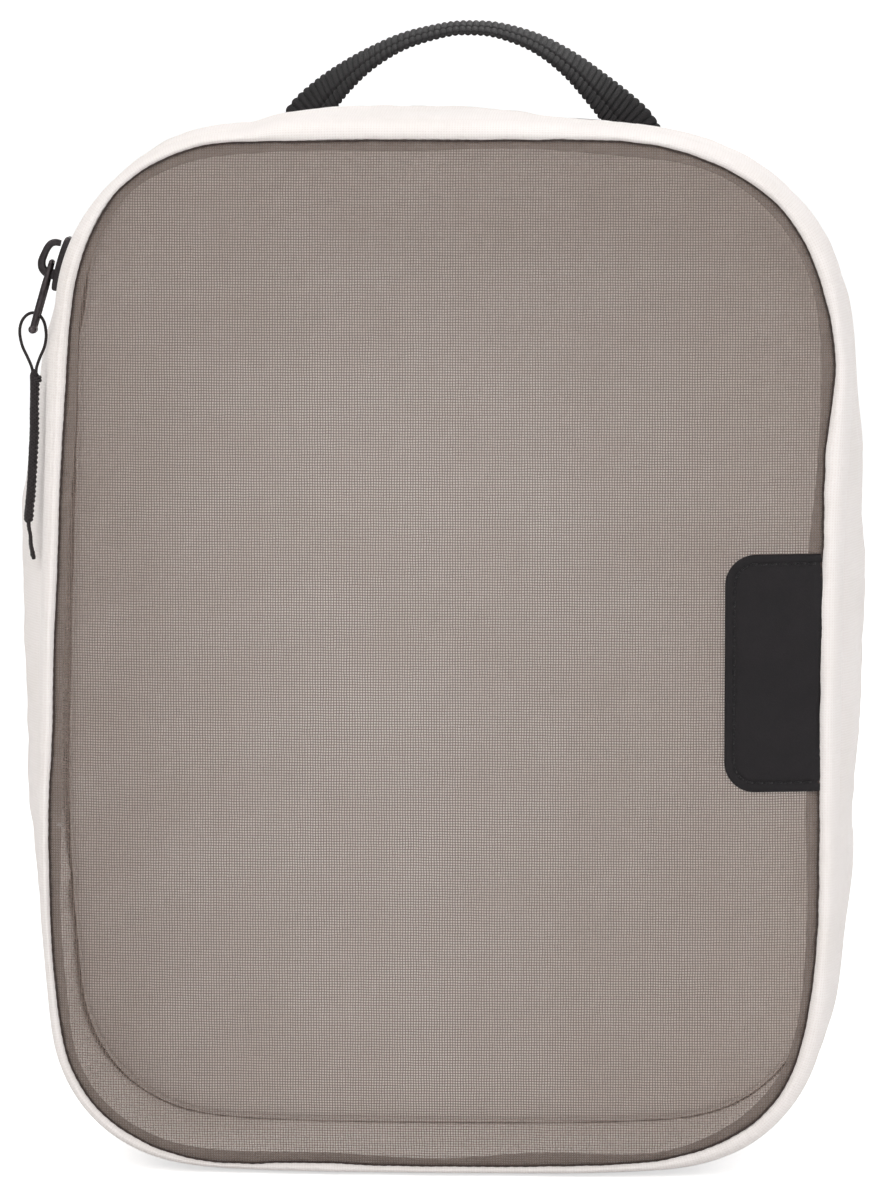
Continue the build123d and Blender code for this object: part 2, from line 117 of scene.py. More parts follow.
def smooth_closed(points, sigma):
    """Circular gaussian over a closed, evenly spaced line; sigma in samples."""
    frequency = np.fft.fftfreq(len(points)) * 2 * math.pi
    gain = np.exp(-0.5 * (frequency * sigma) ** 2)
    return np.real(np.fft.ifft(np.fft.fft(points, axis=0) * gain[:, None], axis=0))


def smoothstep(low, high, value):
    t = np.clip((value - low) / (high - low), 0, 1)
    return t * t * (3 - 2 * t)


def wave_draws(seed, shortest, longest, count):
    """Seeded wavelength, heading (0 to 1) and phase of each wave."""
    rng = np.random.RandomState(seed)
    for _ in range(count):
        yield shortest * (longest / shortest) ** rng.rand(), rng.rand(), TAU * rng.rand()


def waves(along, across, seed, shortest, longest, count):
    """Sum of sines over two coordinates in mm, about unit height."""
    out = np.zeros(np.broadcast(along, across).shape)
    for length, heading, phase in wave_draws(seed, shortest, longest, count):
        angle = TAU * heading
        travel = along * math.cos(angle) + across * math.sin(angle)
        out += np.sin(TAU / length * travel + phase)
    return out / math.sqrt(count / 2)


def ring_waves(along, across, seed, shortest, longest, count):
    """Like waves, but whole numbers of waves go round the outline, so it closes."""
    out = np.zeros(np.broadcast(along, across).shape)
    for length, heading, phase in wave_draws(seed, shortest, longest, count):
        angle = (heading - 0.5) * 2.4
        turns = max(1, round(GIRTH / length * math.cos(angle)))
        out += np.sin(TAU * (turns * along / GIRTH + across * math.sin(angle) / length) + phase)
    return out / math.sqrt(count / 2)


def ring_sin(along, pitch, phase):
    return np.sin(TAU * round(GIRTH / pitch) * along / GIRTH + phase)


# =============================================================================
# meshes
# =============================================================================
def write_mesh(name, vertices, faces, material, uv=None, wrap=0.0, recalc=True):
    """Object from vertices in mm; wrap is the length of a ring whose uv must close."""
    vertices = np.asarray(vertices, float).reshape(-1, 3) * MM
    faces = np.asarray(faces)
    triangle = faces[:, 2] == faces[:, 3]  # a doubled last corner means a triangle
    total = np.where(triangle, 3, 4)
    keep = np.ones(faces.shape, bool)
    keep[triangle, 3] = False
    loops = faces[keep]
    mesh = bpy.data.meshes.new(name)
    mesh.vertices.add(len(vertices))
    mesh.vertices.foreach_set("co", vertices.astype(np.float32).ravel())
    mesh.loops.add(len(loops))
    mesh.loops.foreach_set("vertex_index", loops.astype(np.int32))
    mesh.polygons.add(len(faces))
    starts = np.r_[0, np.cumsum(total)[:-1]].astype(np.int32)
    mesh.polygons.foreach_set("loop_start", starts)
    mesh.polygons.foreach_set("loop_total", total.astype(np.int32))
    mesh.polygons.foreach_set("use_smooth", np.full(len(faces), True))
    mesh.materials.append(material)
    if uv is not None:
        layer = mesh.uv_layers.new(name="cloth")
        loop_uv = np.asarray(uv, float)[loops]
        if wrap:  # faces that close the ring take the far end of the tape measure
            face = np.repeat(np.arange(len(faces)), total)
            top = np.full(len(faces), -1e9)
            np.maximum.at(top, face, loop_uv[:, 0])
            loop_uv[:, 0] += np.where(top[face] - loop_uv[:, 0] > wrap / 2, wrap, 0.0)
        layer.data.foreach_set("uv", loop_uv.astype(np.float32).ravel())
    mesh.update(calc_edges=True)
    mesh.validate(verbose=False)
    obj = bpy.data.objects.new(name, mesh)
    scene.collection.objects.link(obj)
    if recalc:
        edit = bmesh.new()
        edit.from_mesh(mesh)
        bmesh.ops.recalc_face_normals(edit, faces=edit.faces)
        edit.to_mesh(mesh)
        edit.free()
    return obj


def grid_faces(rows, columns, close_rows=False, close_columns=False, base=0, flip=False):
    i = np.arange(rows if close_rows else rows - 1)
    j = np.arange(columns if close_columns else columns - 1)
    i, j = np.meshgrid(i, j, indexing="ij")
    i_next, j_next = (i + 1) % rows, (j + 1) % columns
    corners = [
        i * columns + j, i_next * columns + j, i_next * columns + j_next, i * columns + j_next
    ]
    quads = np.stack(corners, -1).reshape(-1, 4) + base
    return quads[:, ::-1] if flip else quads


def grid_uv(along, across):
    return np.stack(np.broadcast_arrays(along[:, None], across), -1).reshape(-1, 2)


def fan(ring, centre, flip=False):
    """Triangles from a closed ring of vertices to a centre vertex."""
    following = np.roll(ring, -1)
    centres = np.full(len(ring), centre)
    first, second = (following, ring) if flip else (ring, following)
    return np.stack([first, second, centres, centres], -1)


def band(first, second):
    """Quads between two closed rings of vertices."""
    return np.stack([first, np.roll(first, -1), np.roll(second, -1), second], -1)


def capped(grid):
    """Closed sections in rows, with a fan over the first and the last."""
    rows, columns = grid.shape[:2]
    vertices = np.vstack([grid.reshape(-1, 3), grid[0].mean(0), grid[-1].mean(0)])
    ring = np.arange(columns)
    last = (rows - 1) * columns
    body = grid_faces(rows, columns, False, True)
    caps = [fan(ring, rows * columns), fan(last + ring, rows * columns + 1)]
    return vertices, np.vstack([body, *caps])


class Pile:
    """Collects several pieces into one mesh."""

    def __init__(self):
        self.vertices, self.faces, self.uv, self.count = [], [], [], 0

    def add(self, vertices, faces, uv=None):
        self.vertices.append(vertices)
        self.faces.append(faces + self.count)
        self.uv.append(np.zeros((len(vertices), 2)) if uv is None else uv)
        self.count += len(vertices)

    def mesh(self, name, material):
        pieces = [np.vstack(self.vertices), np.vstack(self.faces)]
        return write_mesh(name, *pieces, material, np.vstack(self.uv))


def tube(path, radius, sides, closed=False, up=Y_AXIS):
    """Round tube along a path, with rotation minimising frames. Open ends are domed."""
    path = np.asarray(path, float)
    count = len(path)
    radius = np.broadcast_to(np.asarray(radius, float), (count,))
    step = np.roll(path, -1, 0) - np.roll(path, 1, 0) if closed else np.gradient(path, axis=0)
    along = unit(step)
    if abs(up @ along[0]) > 0.95:
        up = X_AXIS
    side = np.zeros_like(path)
    side[0] = square_to(up, along[0])
    for i in range(1, count):
        side[i] = square_to(side[i - 1], along[i])
    other = np.cross(along, side)
    if closed:  # spread the twist that is left over the loop
        end = square_to(side[-1], along[0])
        twist = math.atan2(end @ other[0], end @ side[0])
        turn = -twist * np.arange(count) / count
        cos, sin = np.cos(turn)[:, None], np.sin(turn)[:, None]
        side, other = side * cos + other * sin, other * cos - side * sin
    turn = np.arange(sides) / sides * TAU
    cos, sin = np.cos(turn)[None, :, None], np.sin(turn)[None, :, None]
    rings = path[:, None] + (side[:, None] * cos + other[:, None] * sin) * radius[:, None, None]
    run = run_length(path)
    uv = grid_uv(run, turn * radius.mean())
    vertices = rings.reshape(-1, 3)
    faces = [grid_faces(count, sides, closed, True)]
    if not closed:
        for end, sign in ((0, -1), (count - 1, 1)):
            outward = sign * along[end] * radius[end]
            shoulder = path[end] + outward * 0.4 + (rings[end] - path[end]) * 0.72
            inner = len(vertices) + np.arange(sides)
            tip = len(vertices) + sides
            vertices = np.vstack([vertices, shoulder, path[end] + outward * 0.55])
            uv = np.vstack([uv, np.tile([run[end], 0], (sides + 1, 1))])
            faces.append(band(end * sides + np.arange(sides), inner)[:, ::sign])
            faces.append(fan(inner, tip, flip=sign < 0))
    return vertices, np.vstack(faces), uv


def assign(obj, body, slot, *nodes):
    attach(obj, body)
    if nodes:
        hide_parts(*nodes)


# =============================================================================
# materials
# =============================================================================
def srgb(*channels):
    """Linear colour from 0-255 channels."""
    return tuple(
        (c / 255) / 12.92 if c <= 10 else ((c / 255 + 0.055) / 1.055) ** 2.4 for c in channels
    )


class Shader:
    """A Principled material being built; textures are measured in mm."""

    def __init__(self, name, roughness, specular, sheen=0.0, metallic=0.0, coat=0.0):
        self.material = bpy.data.materials.new(name)
        self.material.use_nodes = True
        self.tree = self.material.node_tree
        self.inputs = self.tree.nodes["Principled BSDF"].inputs
        self.inputs["Roughness"].default_value = roughness
        self.inputs["Metallic"].default_value = metallic
        self.inputs["Specular IOR Level"].default_value = specular
        self.inputs["Sheen Weight"].default_value = sheen
        self.inputs["Sheen Roughness"].default_value = 0.45
        self.inputs["Coat Weight"].default_value = coat
        mapping = self.node("ShaderNodeMapping")
        mapping.inputs["Scale"].default_value = (1000, 1000, 1000)  # metres to mm
        self.link(self.node("ShaderNodeTexCoord").outputs["Object"], mapping.inputs[0])
        self.position = mapping.outputs[0]

    def node(self, kind, **settings):
        node = self.tree.nodes.new(kind)
        for key, value in settings.items():
            setattr(node, key, value)
        return node

    def link(self, output, target):
        self.tree.links.new(output, target)

    def math(self, operation, *values):
        node = self.node("ShaderNodeMath", operation=operation)
        for i, value in enumerate(values):
            if isinstance(value, (int, float)):
                node.inputs[i].default_value = value
            else:
                self.link(value, node.inputs[i])
        return node.outputs[0]

    def sum(self, *terms):
        """Adds two (output, gain) terms; a gain of 1 takes the output as it is."""
        return self.math("ADD", *[
            value if gain == 1 else self.math("MULTIPLY", value, gain) for value, gain in terms
        ])

    def wave(self, operation, value, frequency):
        return self.math(operation, self.math("MULTIPLY", value, frequency))

    def uv(self):
        separate = self.node("ShaderNodeSeparateXYZ")
        uv_map = self.node("ShaderNodeUVMap", uv_map="cloth")
        self.link(uv_map.outputs[0], separate.inputs[0])
        return separate.outputs[0], separate.outputs[1]

    def noise(self, scale, detail, roughness=0.55):
        node = self.node("ShaderNodeTexNoise")
        node.inputs["Scale"].default_value = scale
        node.inputs["Detail"].default_value = detail
        node.inputs["Roughness"].default_value = roughness
        self.link(self.position, node.inputs["Vector"])
        return node.outputs[0]

    def ramp(self, value, stops):
        node = self.node("ShaderNodeValToRGB")
        elements = node.color_ramp.elements
        while len(elements) < len(stops):
            elements.new(0.5)
        for element, (position, colour) in zip(elements, stops):
            element.position = position
            element.color = (*colour, 1)
        self.link(value, node.inputs[0])
        return node.outputs[0]

    def remap(self, value, from_low, from_high, to_low=0.0, to_high=1.0):
        node = self.node("ShaderNodeMapRange")
        for i, limit in enumerate((from_low, from_high, to_low, to_high)):
            node.inputs[i + 1].default_value = limit
        self.link(value, node.inputs[0])
        return node.outputs[0]

    def colour(self, output):
        self.link(output, self.inputs["Base Color"])

    def roughness(self, value, low, high):
        self.link(self.remap(value, 0.2, 0.8, low, high), self.inputs["Roughness"])

    def bump(self, height, depth, strength):
        node = self.node("ShaderNodeBump")
        node.inputs["Distance"].default_value = depth * MM
        node.inputs["Strength"].default_value = strength
        self.link(height, node.inputs["Height"])
        self.link(node.outputs[0], self.inputs["Normal"])


def make_shell():
    """Off-white padded knit: rows of small offset bumps, painted shade in their hollows, soft colour
    drift, fine fuzz.
    """
    shader = Shader("shell_fabric", roughness=0.82, specular=0.25, sheen=0.35)
    u, v = shader.uv()
    frequency = TAU / 1.25 * 0.7071  # knit pitch along the diagonals
    lattice = shader.math(
        "MULTIPLY",
        shader.wave("SINE", shader.math("ADD", u, v), frequency),
        shader.wave("SINE", shader.math("SUBTRACT", u, v), frequency),
    )
    fuzz = shader.noise(scale=2.3, detail=4.0, roughness=0.65)
    drift = shader.noise(scale=0.035, detail=3.0, roughness=0.5)
    shader.bump(shader.sum((lattice, 0.5), (fuzz, 0.9)), depth=0.16, strength=0.55)
    tint = [(0.30, srgb(246, 240, 236)), (0.52, srgb(249, 243, 240)), (0.75, srgb(251, 246, 243))]
    base = shader.ramp(drift, tint)
    mix = shader.node("ShaderNodeMix", data_type="RGBA", blend_type="MULTIPLY")
    mix.inputs[0].default_value = 1.0
    shader.link(base, mix.inputs[6])
    # painted shade: the colour is darkened in the knit's hollows, where the bump lattice is low
    painted_hollow_shade = [(0.0, (0.915, 0.885, 0.87)), (0.45, (1, 1, 1)), (1.0, (1, 1, 1))]
    shader.link(shader.ramp(shader.remap(lattice, -1, 1), painted_hollow_shade), mix.inputs[7])
    shader.colour(mix.outputs[2])
    shader.roughness(fuzz, 0.72, 0.92)
    shader.inputs["Sheen Tint"].default_value = (1, 0.97, 0.95, 1)
    return shader.material


def make_net():
    """Open warm-grey plain net: warp and weft threads with holes between them."""
    shader = Shader("window_mesh", roughness=0.7, specular=0.25, sheen=0.1)
    frequency = TAU / 0.86  # thread pitch
    wobble = shader.noise(scale=0.22, detail=2.0, roughness=0.5)
    u, v = [
        shader.sum((axis, 1), (wobble, sway)) for axis, sway in zip(shader.uv(), (0.5, 0.4))
    ]
    threads = [
        shader.math("MULTIPLY", shader.math("ADD", shader.wave("COSINE", axis, frequency), 1.0), 0.5)
        for axis in (u, v)
    ]
    thread = shader.math("MAXIMUM", *threads)
    shader.link(shader.remap(thread, 0.72, 0.96, 0.03, 0.97), shader.inputs["Alpha"])
    slub = shader.noise(scale=0.9, detail=2.0, roughness=0.6)
    over = shader.math("MULTIPLY", *[shader.wave("SINE", axis, frequency / 2) for axis in (u, v)])
    tone = shader.sum((shader.remap(over, -1, 1), 0.5), (slub, 0.5))
    greys = [(0.25, srgb(94, 79, 71)), (0.5, srgb(130, 112, 102)), (0.8, srgb(166, 147, 136))]
    shader.colour(shader.ramp(tone, greys))
    shader.bump(thread, depth=0.12, strength=0.4)
    return shader.material


def make_tape(name, dark, middle, light, pitch):
    """Narrow woven tape: fine over-and-under ribs."""
    shader = Shader(name, roughness=0.75, specular=0.3, sheen=0.2)
    weave = shader.math("MULTIPLY", *[shader.wave("SINE", x, TAU / pitch) for x in shader.uv()])
    fuzz = shader.noise(scale=1.6, detail=3.0, roughness=0.6)
    shader.bump(shader.sum((weave, 0.6), (fuzz, 1)), depth=0.12, strength=0.7)
    tone = shader.sum((shader.remap(weave, -1, 1, 0, 0.5), 1), (fuzz, 0.5))
    stops = [(0.2, srgb(*dark)), (0.5, srgb(*middle)), (0.8, srgb(*light))]
    shader.colour(shader.ramp(tone, stops))
    shader.roughness(fuzz, 0.65, 0.87)
    return shader.material


RIB_PITCH = 2.15  # cross ribs of the handle webbing


def make_webbing():
    """Black webbing with fine yarns across each rib; painted highlight on the rib crests and painted
    shade between them.
    """
    shader = Shader("webbing", roughness=0.62, specular=0.3, sheen=0.08)
    u, v = shader.uv()
    weave = shader.math(
        "MULTIPLY",
        shader.wave("SINE", v, TAU / 0.55),
        shader.wave("SINE", shader.sum((u, 1), (v, 0.5)), TAU / 0.44),
    )
    fuzz = shader.noise(scale=1.3, detail=4.0, roughness=0.6)
    shader.bump(shader.sum((weave, 0.5), (fuzz, 1)), depth=0.12, strength=0.7)
    # painted highlight and shade: the colour is lighter on each rib's crest and darker between the
    # ribs
    rib = shader.math("ABSOLUTE", shader.wave("COSINE", u, math.pi / RIB_PITCH))
    tone = shader.sum((rib, 0.55), (fuzz, 0.45))
    blacks = [(0.15, srgb(2, 2, 2)), (0.5, srgb(9, 7, 8)), (0.9, srgb(34, 29, 31))]
    shader.colour(shader.ramp(tone, blacks))
    shader.roughness(fuzz, 0.5, 0.75)
    return shader.material


def make_leather():
    """Near-black leather with a cell grain."""
    shader = Shader("patch_leather", roughness=0.6, specular=0.3)
    voronoi = shader.node("ShaderNodeTexVoronoi", feature="DISTANCE_TO_EDGE")
    voronoi.inputs["Scale"].default_value = 1.5
    shader.link(shader.position, voronoi.inputs["Vector"])
    cell = shader.remap(voronoi.outputs[0], 0.0, 0.25)
    grain = shader.noise(scale=3.0, detail=4.0, roughness=0.6)
    drift = shader.noise(scale=0.09, detail=2.0, roughness=0.5)
    shader.bump(shader.sum((cell, 0.7), (grain, 0.4)), depth=0.1, strength=0.6)
    tone = shader.sum((drift, 0.6), (cell, 0.25))
    blacks = [(0.2, srgb(15, 11, 14)), (0.5, srgb(22, 17, 20)), (0.8, srgb(31, 26, 29))]
    shader.colour(shader.ramp(tone, blacks))
    shader.roughness(grain, 0.42, 0.66)
    return shader.material


def make_metal():
    """Dark gun-metal paint, lighter in colour along its sharp convex edges."""
    shader = Shader("slider_metal", roughness=0.38, specular=0.5, metallic=0.75, coat=0.15)
    mottle = shader.noise(scale=0.9, detail=4.0, roughness=0.6)
    geometry = shader.node("ShaderNodeNewGeometry")
    # colour lighter where the surface is most convex, along the edges
    bright_edges = shader.remap(geometry.outputs["Pointiness"], 0.50, 0.56)
    tone = shader.sum((bright_edges, 0.45), (mottle, 0.5))
    greys = [(0.15, srgb(30, 27, 28)), (0.5, srgb(58, 52, 54)), (0.9, srgb(104, 96, 97))]
    shader.colour(shader.ramp(tone, greys))
    shader.roughness(mottle, 0.30, 0.5)
    shader.bump(shader.noise(scale=5.0, detail=3.0), depth=0.02, strength=0.5)
    return shader.material


def make_cord(name, dark, light, pitch):
    """Braided or twisted cord: two crossing diagonal ribs."""
    shader = Shader(name, roughness=0.7, specular=0.35, sheen=0.2)
    u, v = shader.uv()
    braid = shader.math("MAXIMUM", *[
        shader.wave("SINE", shader.math(lean, u, shader.math("MULTIPLY", v, 0.8)), TAU / pitch)
        for lean in ("ADD", "SUBTRACT")
    ])
    fuzz = shader.noise(scale=1.8, detail=3.0, roughness=0.6)
    shader.bump(shader.sum((braid, 0.6), (fuzz, 0.5)), depth=0.12, strength=0.8)
    tone = shader.sum((shader.remap(braid, -1, 1, 0, 0.5), 1), (fuzz, 0.5))
    shader.colour(shader.ramp(tone, [(0.2, srgb(*dark)), (0.8, srgb(*light))]))
    return shader.material


def make_coil():
    """Pale nylon."""
    shader = Shader("zip_coil", roughness=0.42, specular=0.5)
    mottle = shader.noise(scale=0.8, detail=3.0, roughness=0.6)
    shader.colour(shader.ramp(mottle, [(0.3, srgb(196, 178, 170)), (0.7, srgb(222, 206, 198))]))
    shader.bump(shader.noise(scale=4.0, detail=2.0), depth=0.03, strength=0.5)
    shader.roughness(mottle, 0.36, 0.55)
    return shader.material


SHELL = make_shell()
NET = make_net()
TAPE = make_tape("zip_tape", (212, 205, 201), (228, 222, 219), (240, 236, 233), pitch=0.7)
BINDING = make_tape("seam_binding", (205, 197, 192), (222, 215, 211), (236, 231, 228), pitch=0.9)
NET_BINDING = make_tape(
    "mesh_binding", (132, 124, 119), (154, 146, 141), (176, 168, 163), pitch=0.7
)
# dark seam line: partly the seam's own dark edge, partly painted shadow of the crease between border
# and net
SEAM_EDGE_AND_SHADOW = make_cord("seam_thread", dark=(30, 22, 20), light=(72, 58, 52), pitch=0.8)
WEBBING = make_webbing()
LEATHER = make_leather()
THREAD = make_cord("patch_thread", dark=(3, 3, 3), light=(22, 19, 21), pitch=0.5)
METAL = make_metal()
CORD = make_cord("pull_cord", dark=(14, 11, 12), light=(52, 45, 45), pitch=0.9)
GRIP = make_cord("pull_grip", dark=(14, 11, 12), light=(50, 43, 44), pitch=1.1)
COIL = make_coil()
STITCH = make_cord("shell_thread", dark=(214, 203, 196), light=(240, 233, 228), pitch=0.5)

# =============================================================================
# outlines: the window edge, then everything measured outward or inward from it
# =============================================================================
# x, z of the window edge, clockwise from the middle of the top
EDGE_STATIONS = [
    (0, 339.8), (40, 339.6), (61, 338.8), (77, 336.9), (91, 332.6), (102.2, 326.0),
    (112, 317.0), (119, 307.2), (124.0, 296.5), (126.8, 285), (128.3, 273), (128.5, 260),
    (127.2, 242), (125.7, 220), (125.0, 195), (124.9, 160), (124.9, 120), (124.8, 92),
    (123.5, 64), (121.9, 52.4), (119.4, 42.0), (115.4, 32.5), (107.6, 22.0), (95.5, 13.0),
    (77, 6.2), (50, 3.9), (0, 3.3), (-50, 3.6), (-82, 5.4), (-99.4, 11.4), (-111.8, 21.0),
    (-119.0, 31.2), (-122.9, 41.4), (-124.4, 52), (-125.5, 66), (-126.6, 84), (-127.2, 104),
    (-126.9, 124), (-125.8, 146), (-125.0, 171), (-123.8, 200), (-121.9, 236), (-120.4, 262),
    (-119.2, 281), (-116.4, 298), (-110.6, 312.4), (-102.4, 324.6), (-89.5, 332.8),
    (-74, 337.8), (-50, 339.4), (-25, 339.9),
]
# Width of the rolled border, from the window edge out to the rim: positions, then widths.
# Positions are z on the left and right sides, x on the bottom and top.
BORDER_LEFT = (
    [0, 30, 60, 80, 105, 125, 145, 200, 240, 280, 300, 330],
    [3.6, 3.6, 3.6, 4.0, 4.2, 4.8, 5.2, 5.6, 6.4, 7.6, 7.8, 7.2],
)
BORDER_RIGHT = (
    [0, 30, 60, 100, 140, 200, 240, 262, 284, 295, 305, 315, 330],
    [6.4, 6.6, 6.0, 6.4, 6.9, 7.3, 7.2, 6.2, 5.2, 6.6, 8.2, 6.2, 4.2],
)
BORDER_BOTTOM = ([-112, -84, 70, 98], [5.2, 3.3, 3.3, 6.6])
BORDER_TOP = ([25, 50, 70, 88, 110], [6.2, 5.0, 4.1, 3.7, 4.2])
# How far the filled side wall stands out past the rim, laid out in the same way
BULGE_LEFT = (
    [0, 20, 60, 85, 105, 125, 145, 170, 205, 240, 262, 285, 305, 330],
    [1.6, 1.8, 3.4, 3.8, 4.4, 6.8, 9.4, 10.2, 10.8, 9.2, 6.4, 2.6, 0.8, 0.3],
)
BULGE_RIGHT = (
    [0, 20, 60, 80, 100, 120, 140, 165, 190, 220, 240, 255, 272, 290, 310, 330],
    [1.0, 1.2, 1.8, 2.6, 4.2, 5.8, 7.0, 8.0, 7.4, 6.2, 3.8, 1.2, 0.2, 0.2, 0.2, 0.1],
)
BULGE_TOP = ([-110, -92, -60, -20, 20, 45, 70, 100], [1.2, 2.4, 2.4, 2.3, 2.2, 0.9, 0.1, 0.0])
BULGE_BOTTOM = 0.2

COLUMNS = 1200  # points round the outline
CENTRE = np.array([0.3, 171.0])  # x, z of the middle of the window
Y_ZIP = -34.0
WALL_FRONT, WALL_DEPTH = -32.3, 76.4
CORNER = JOINT_AT["slider_travel"]  # centre of the upper left corner
SLIDER_RADIUS = 62.0
CLOTH_RADIUS = 59.7  # the cloth of that corner stays inside the slider's plate
HINGE_LOW, HINGE_HIGH = 56.5, 309.5

EDGE = resample(catmull(EDGE_STATIONS, 24, closed=True), COLUMNS, closed=True)
EDGE = resample(smooth_closed(EDGE, 6.0), COLUMNS, closed=True)
EDGE_X, EDGE_Z = EDGE.T
ALONG = unit(np.roll(EDGE, -1, 0) - np.roll(EDGE, 1, 0))
OUTWARD = np.stack([-ALONG[:, 1], ALONG[:, 0]], -1)
segments = np.linalg.norm(np.roll(EDGE, -1, 0) - EDGE, axis=1)
RUN = np.r_[0, np.cumsum(segments)[:-1]]
RUN_COLUMN = RUN[:, None]
GIRTH = segments.sum()
# how far each point belongs to each side
ON_LEFT = np.clip(-OUTWARD[:, 0], 0, 1) ** 2
ON_RIGHT = np.clip(OUTWARD[:, 0], 0, 1) ** 2
ON_TOP = np.clip(OUTWARD[:, 1], 0, 1) ** 2
ON_BOTTOM = np.clip(-OUTWARD[:, 1], 0, 1) ** 2
OFF_BOTTOM = ON_BOTTOM[:, None]


def by_side(left, right, top, bottom, sigma):
    """Blend four side profiles round the outline."""
    profile = (
        ON_LEFT * np.interp(EDGE_Z, *left)
        + ON_RIGHT * np.interp(EDGE_Z, *right)
        + ON_TOP * np.interp(EDGE_X, *top)
        + ON_BOTTOM * bottom
    )
    return smooth_closed(profile[:, None], sigma)[:, 0]


BULGE = by_side(BULGE_LEFT, BULGE_RIGHT, BULGE_TOP, BULGE_BOTTOM, sigma=10.0)
bottom_width = np.interp(EDGE_X, *BORDER_BOTTOM)
straight_rim = by_side(BORDER_LEFT, BORDER_RIGHT, BORDER_TOP, bottom_width, sigma=8.0)

# round the upper left corner the rim follows an arc
from_corner = EDGE - CORNER[[0, 2]]
reach = (from_corner * OUTWARD).sum(1)
to_arc = -reach + np.sqrt(
    np.maximum(reach**2 - (from_corner**2).sum(1) + CLOTH_RADIUS**2, 0)
)
corner_deg = np.degrees(np.arctan2(from_corner[:, 1], -from_corner[:, 0]))
near_corner = (EDGE_X < 20) & (EDGE_Z > 200)
on_arc = smoothstep(-14, 3, corner_deg) * (1 - smoothstep(88, 104, corner_deg)) * near_corner
RIM = straight_rim * (1 - on_arc) + to_arc * on_arc
# where the fabric is set back for the slider's plate
SET_BACK = smoothstep(2, 7, corner_deg) * (1 - smoothstep(85, 90, corner_deg)) * near_corner

LEFT = EDGE_X < -60
HINGE = LEFT & (EDGE_Z > HINGE_LOW) & (EDGE_Z < HINGE_HIGH - 2.0)  # lid joined to the case
HINGE_SOFT = smooth_closed(HINGE.astype(float)[:, None], 4.0)[:, 0]


def place(out, y, columns=slice(None)):
    """Points at outward distance out and depth y; rows follow the outline."""
    x = EDGE[columns, 0][:, None] + OUTWARD[columns, 0][:, None] * out
    z = EDGE[columns, 1][:, None] + OUTWARD[columns, 1][:, None] * out
    return np.stack([x, y + 0 * x, z], -1)


def set_back(y, columns=slice(None)):
    return 1.4 * SET_BACK[columns][:, None] * np.exp(-(((y - Y_ZIP) / 5.3) ** 6))


def ground(points, floor=0.15, soft=1.2):
    """Fabric that meets the ground lies flat on it."""
    z = points[..., 2]
    limit = floor + soft
    eased = floor + soft * np.exp((np.minimum(z, limit) - floor - soft) / soft)
    points[..., 2] = np.where(z < limit, eased, z)
    return points


def ring_mesh(name, points, material, across):
    """Closed section carried all the way round the outline."""
    faces = grid_faces(COLUMNS, points.shape[1], True, True)
    return write_mesh(name, points, faces, material, grid_uv(RUN, across), wrap=GIRTH)


# =============================================================================
# cloth pass: a coarse shell, held at its seams and filled from inside, gives the drape
# =============================================================================
PROXY_COLUMNS, WALL_ROWS = 190, 13
# shares of the way from the edge to the centre
PROXY_SHARES = [
    0.0, 0.03, 0.08, 0.14, 0.21, 0.29, 0.37, 0.45, 0.53, 0.61, 0.69, 0.77, 0.85, 0.93,
]
PROXY_AT = (np.arange(PROXY_COLUMNS) * COLUMNS / PROXY_COLUMNS).astype(int)
LAST_FRAME = 20
MOST_DRAPE = 3.2


def bulge_shape(t):
    return np.clip(1 - np.abs(2 * t - 1) ** 2.3, 0, 1) ** 0.85


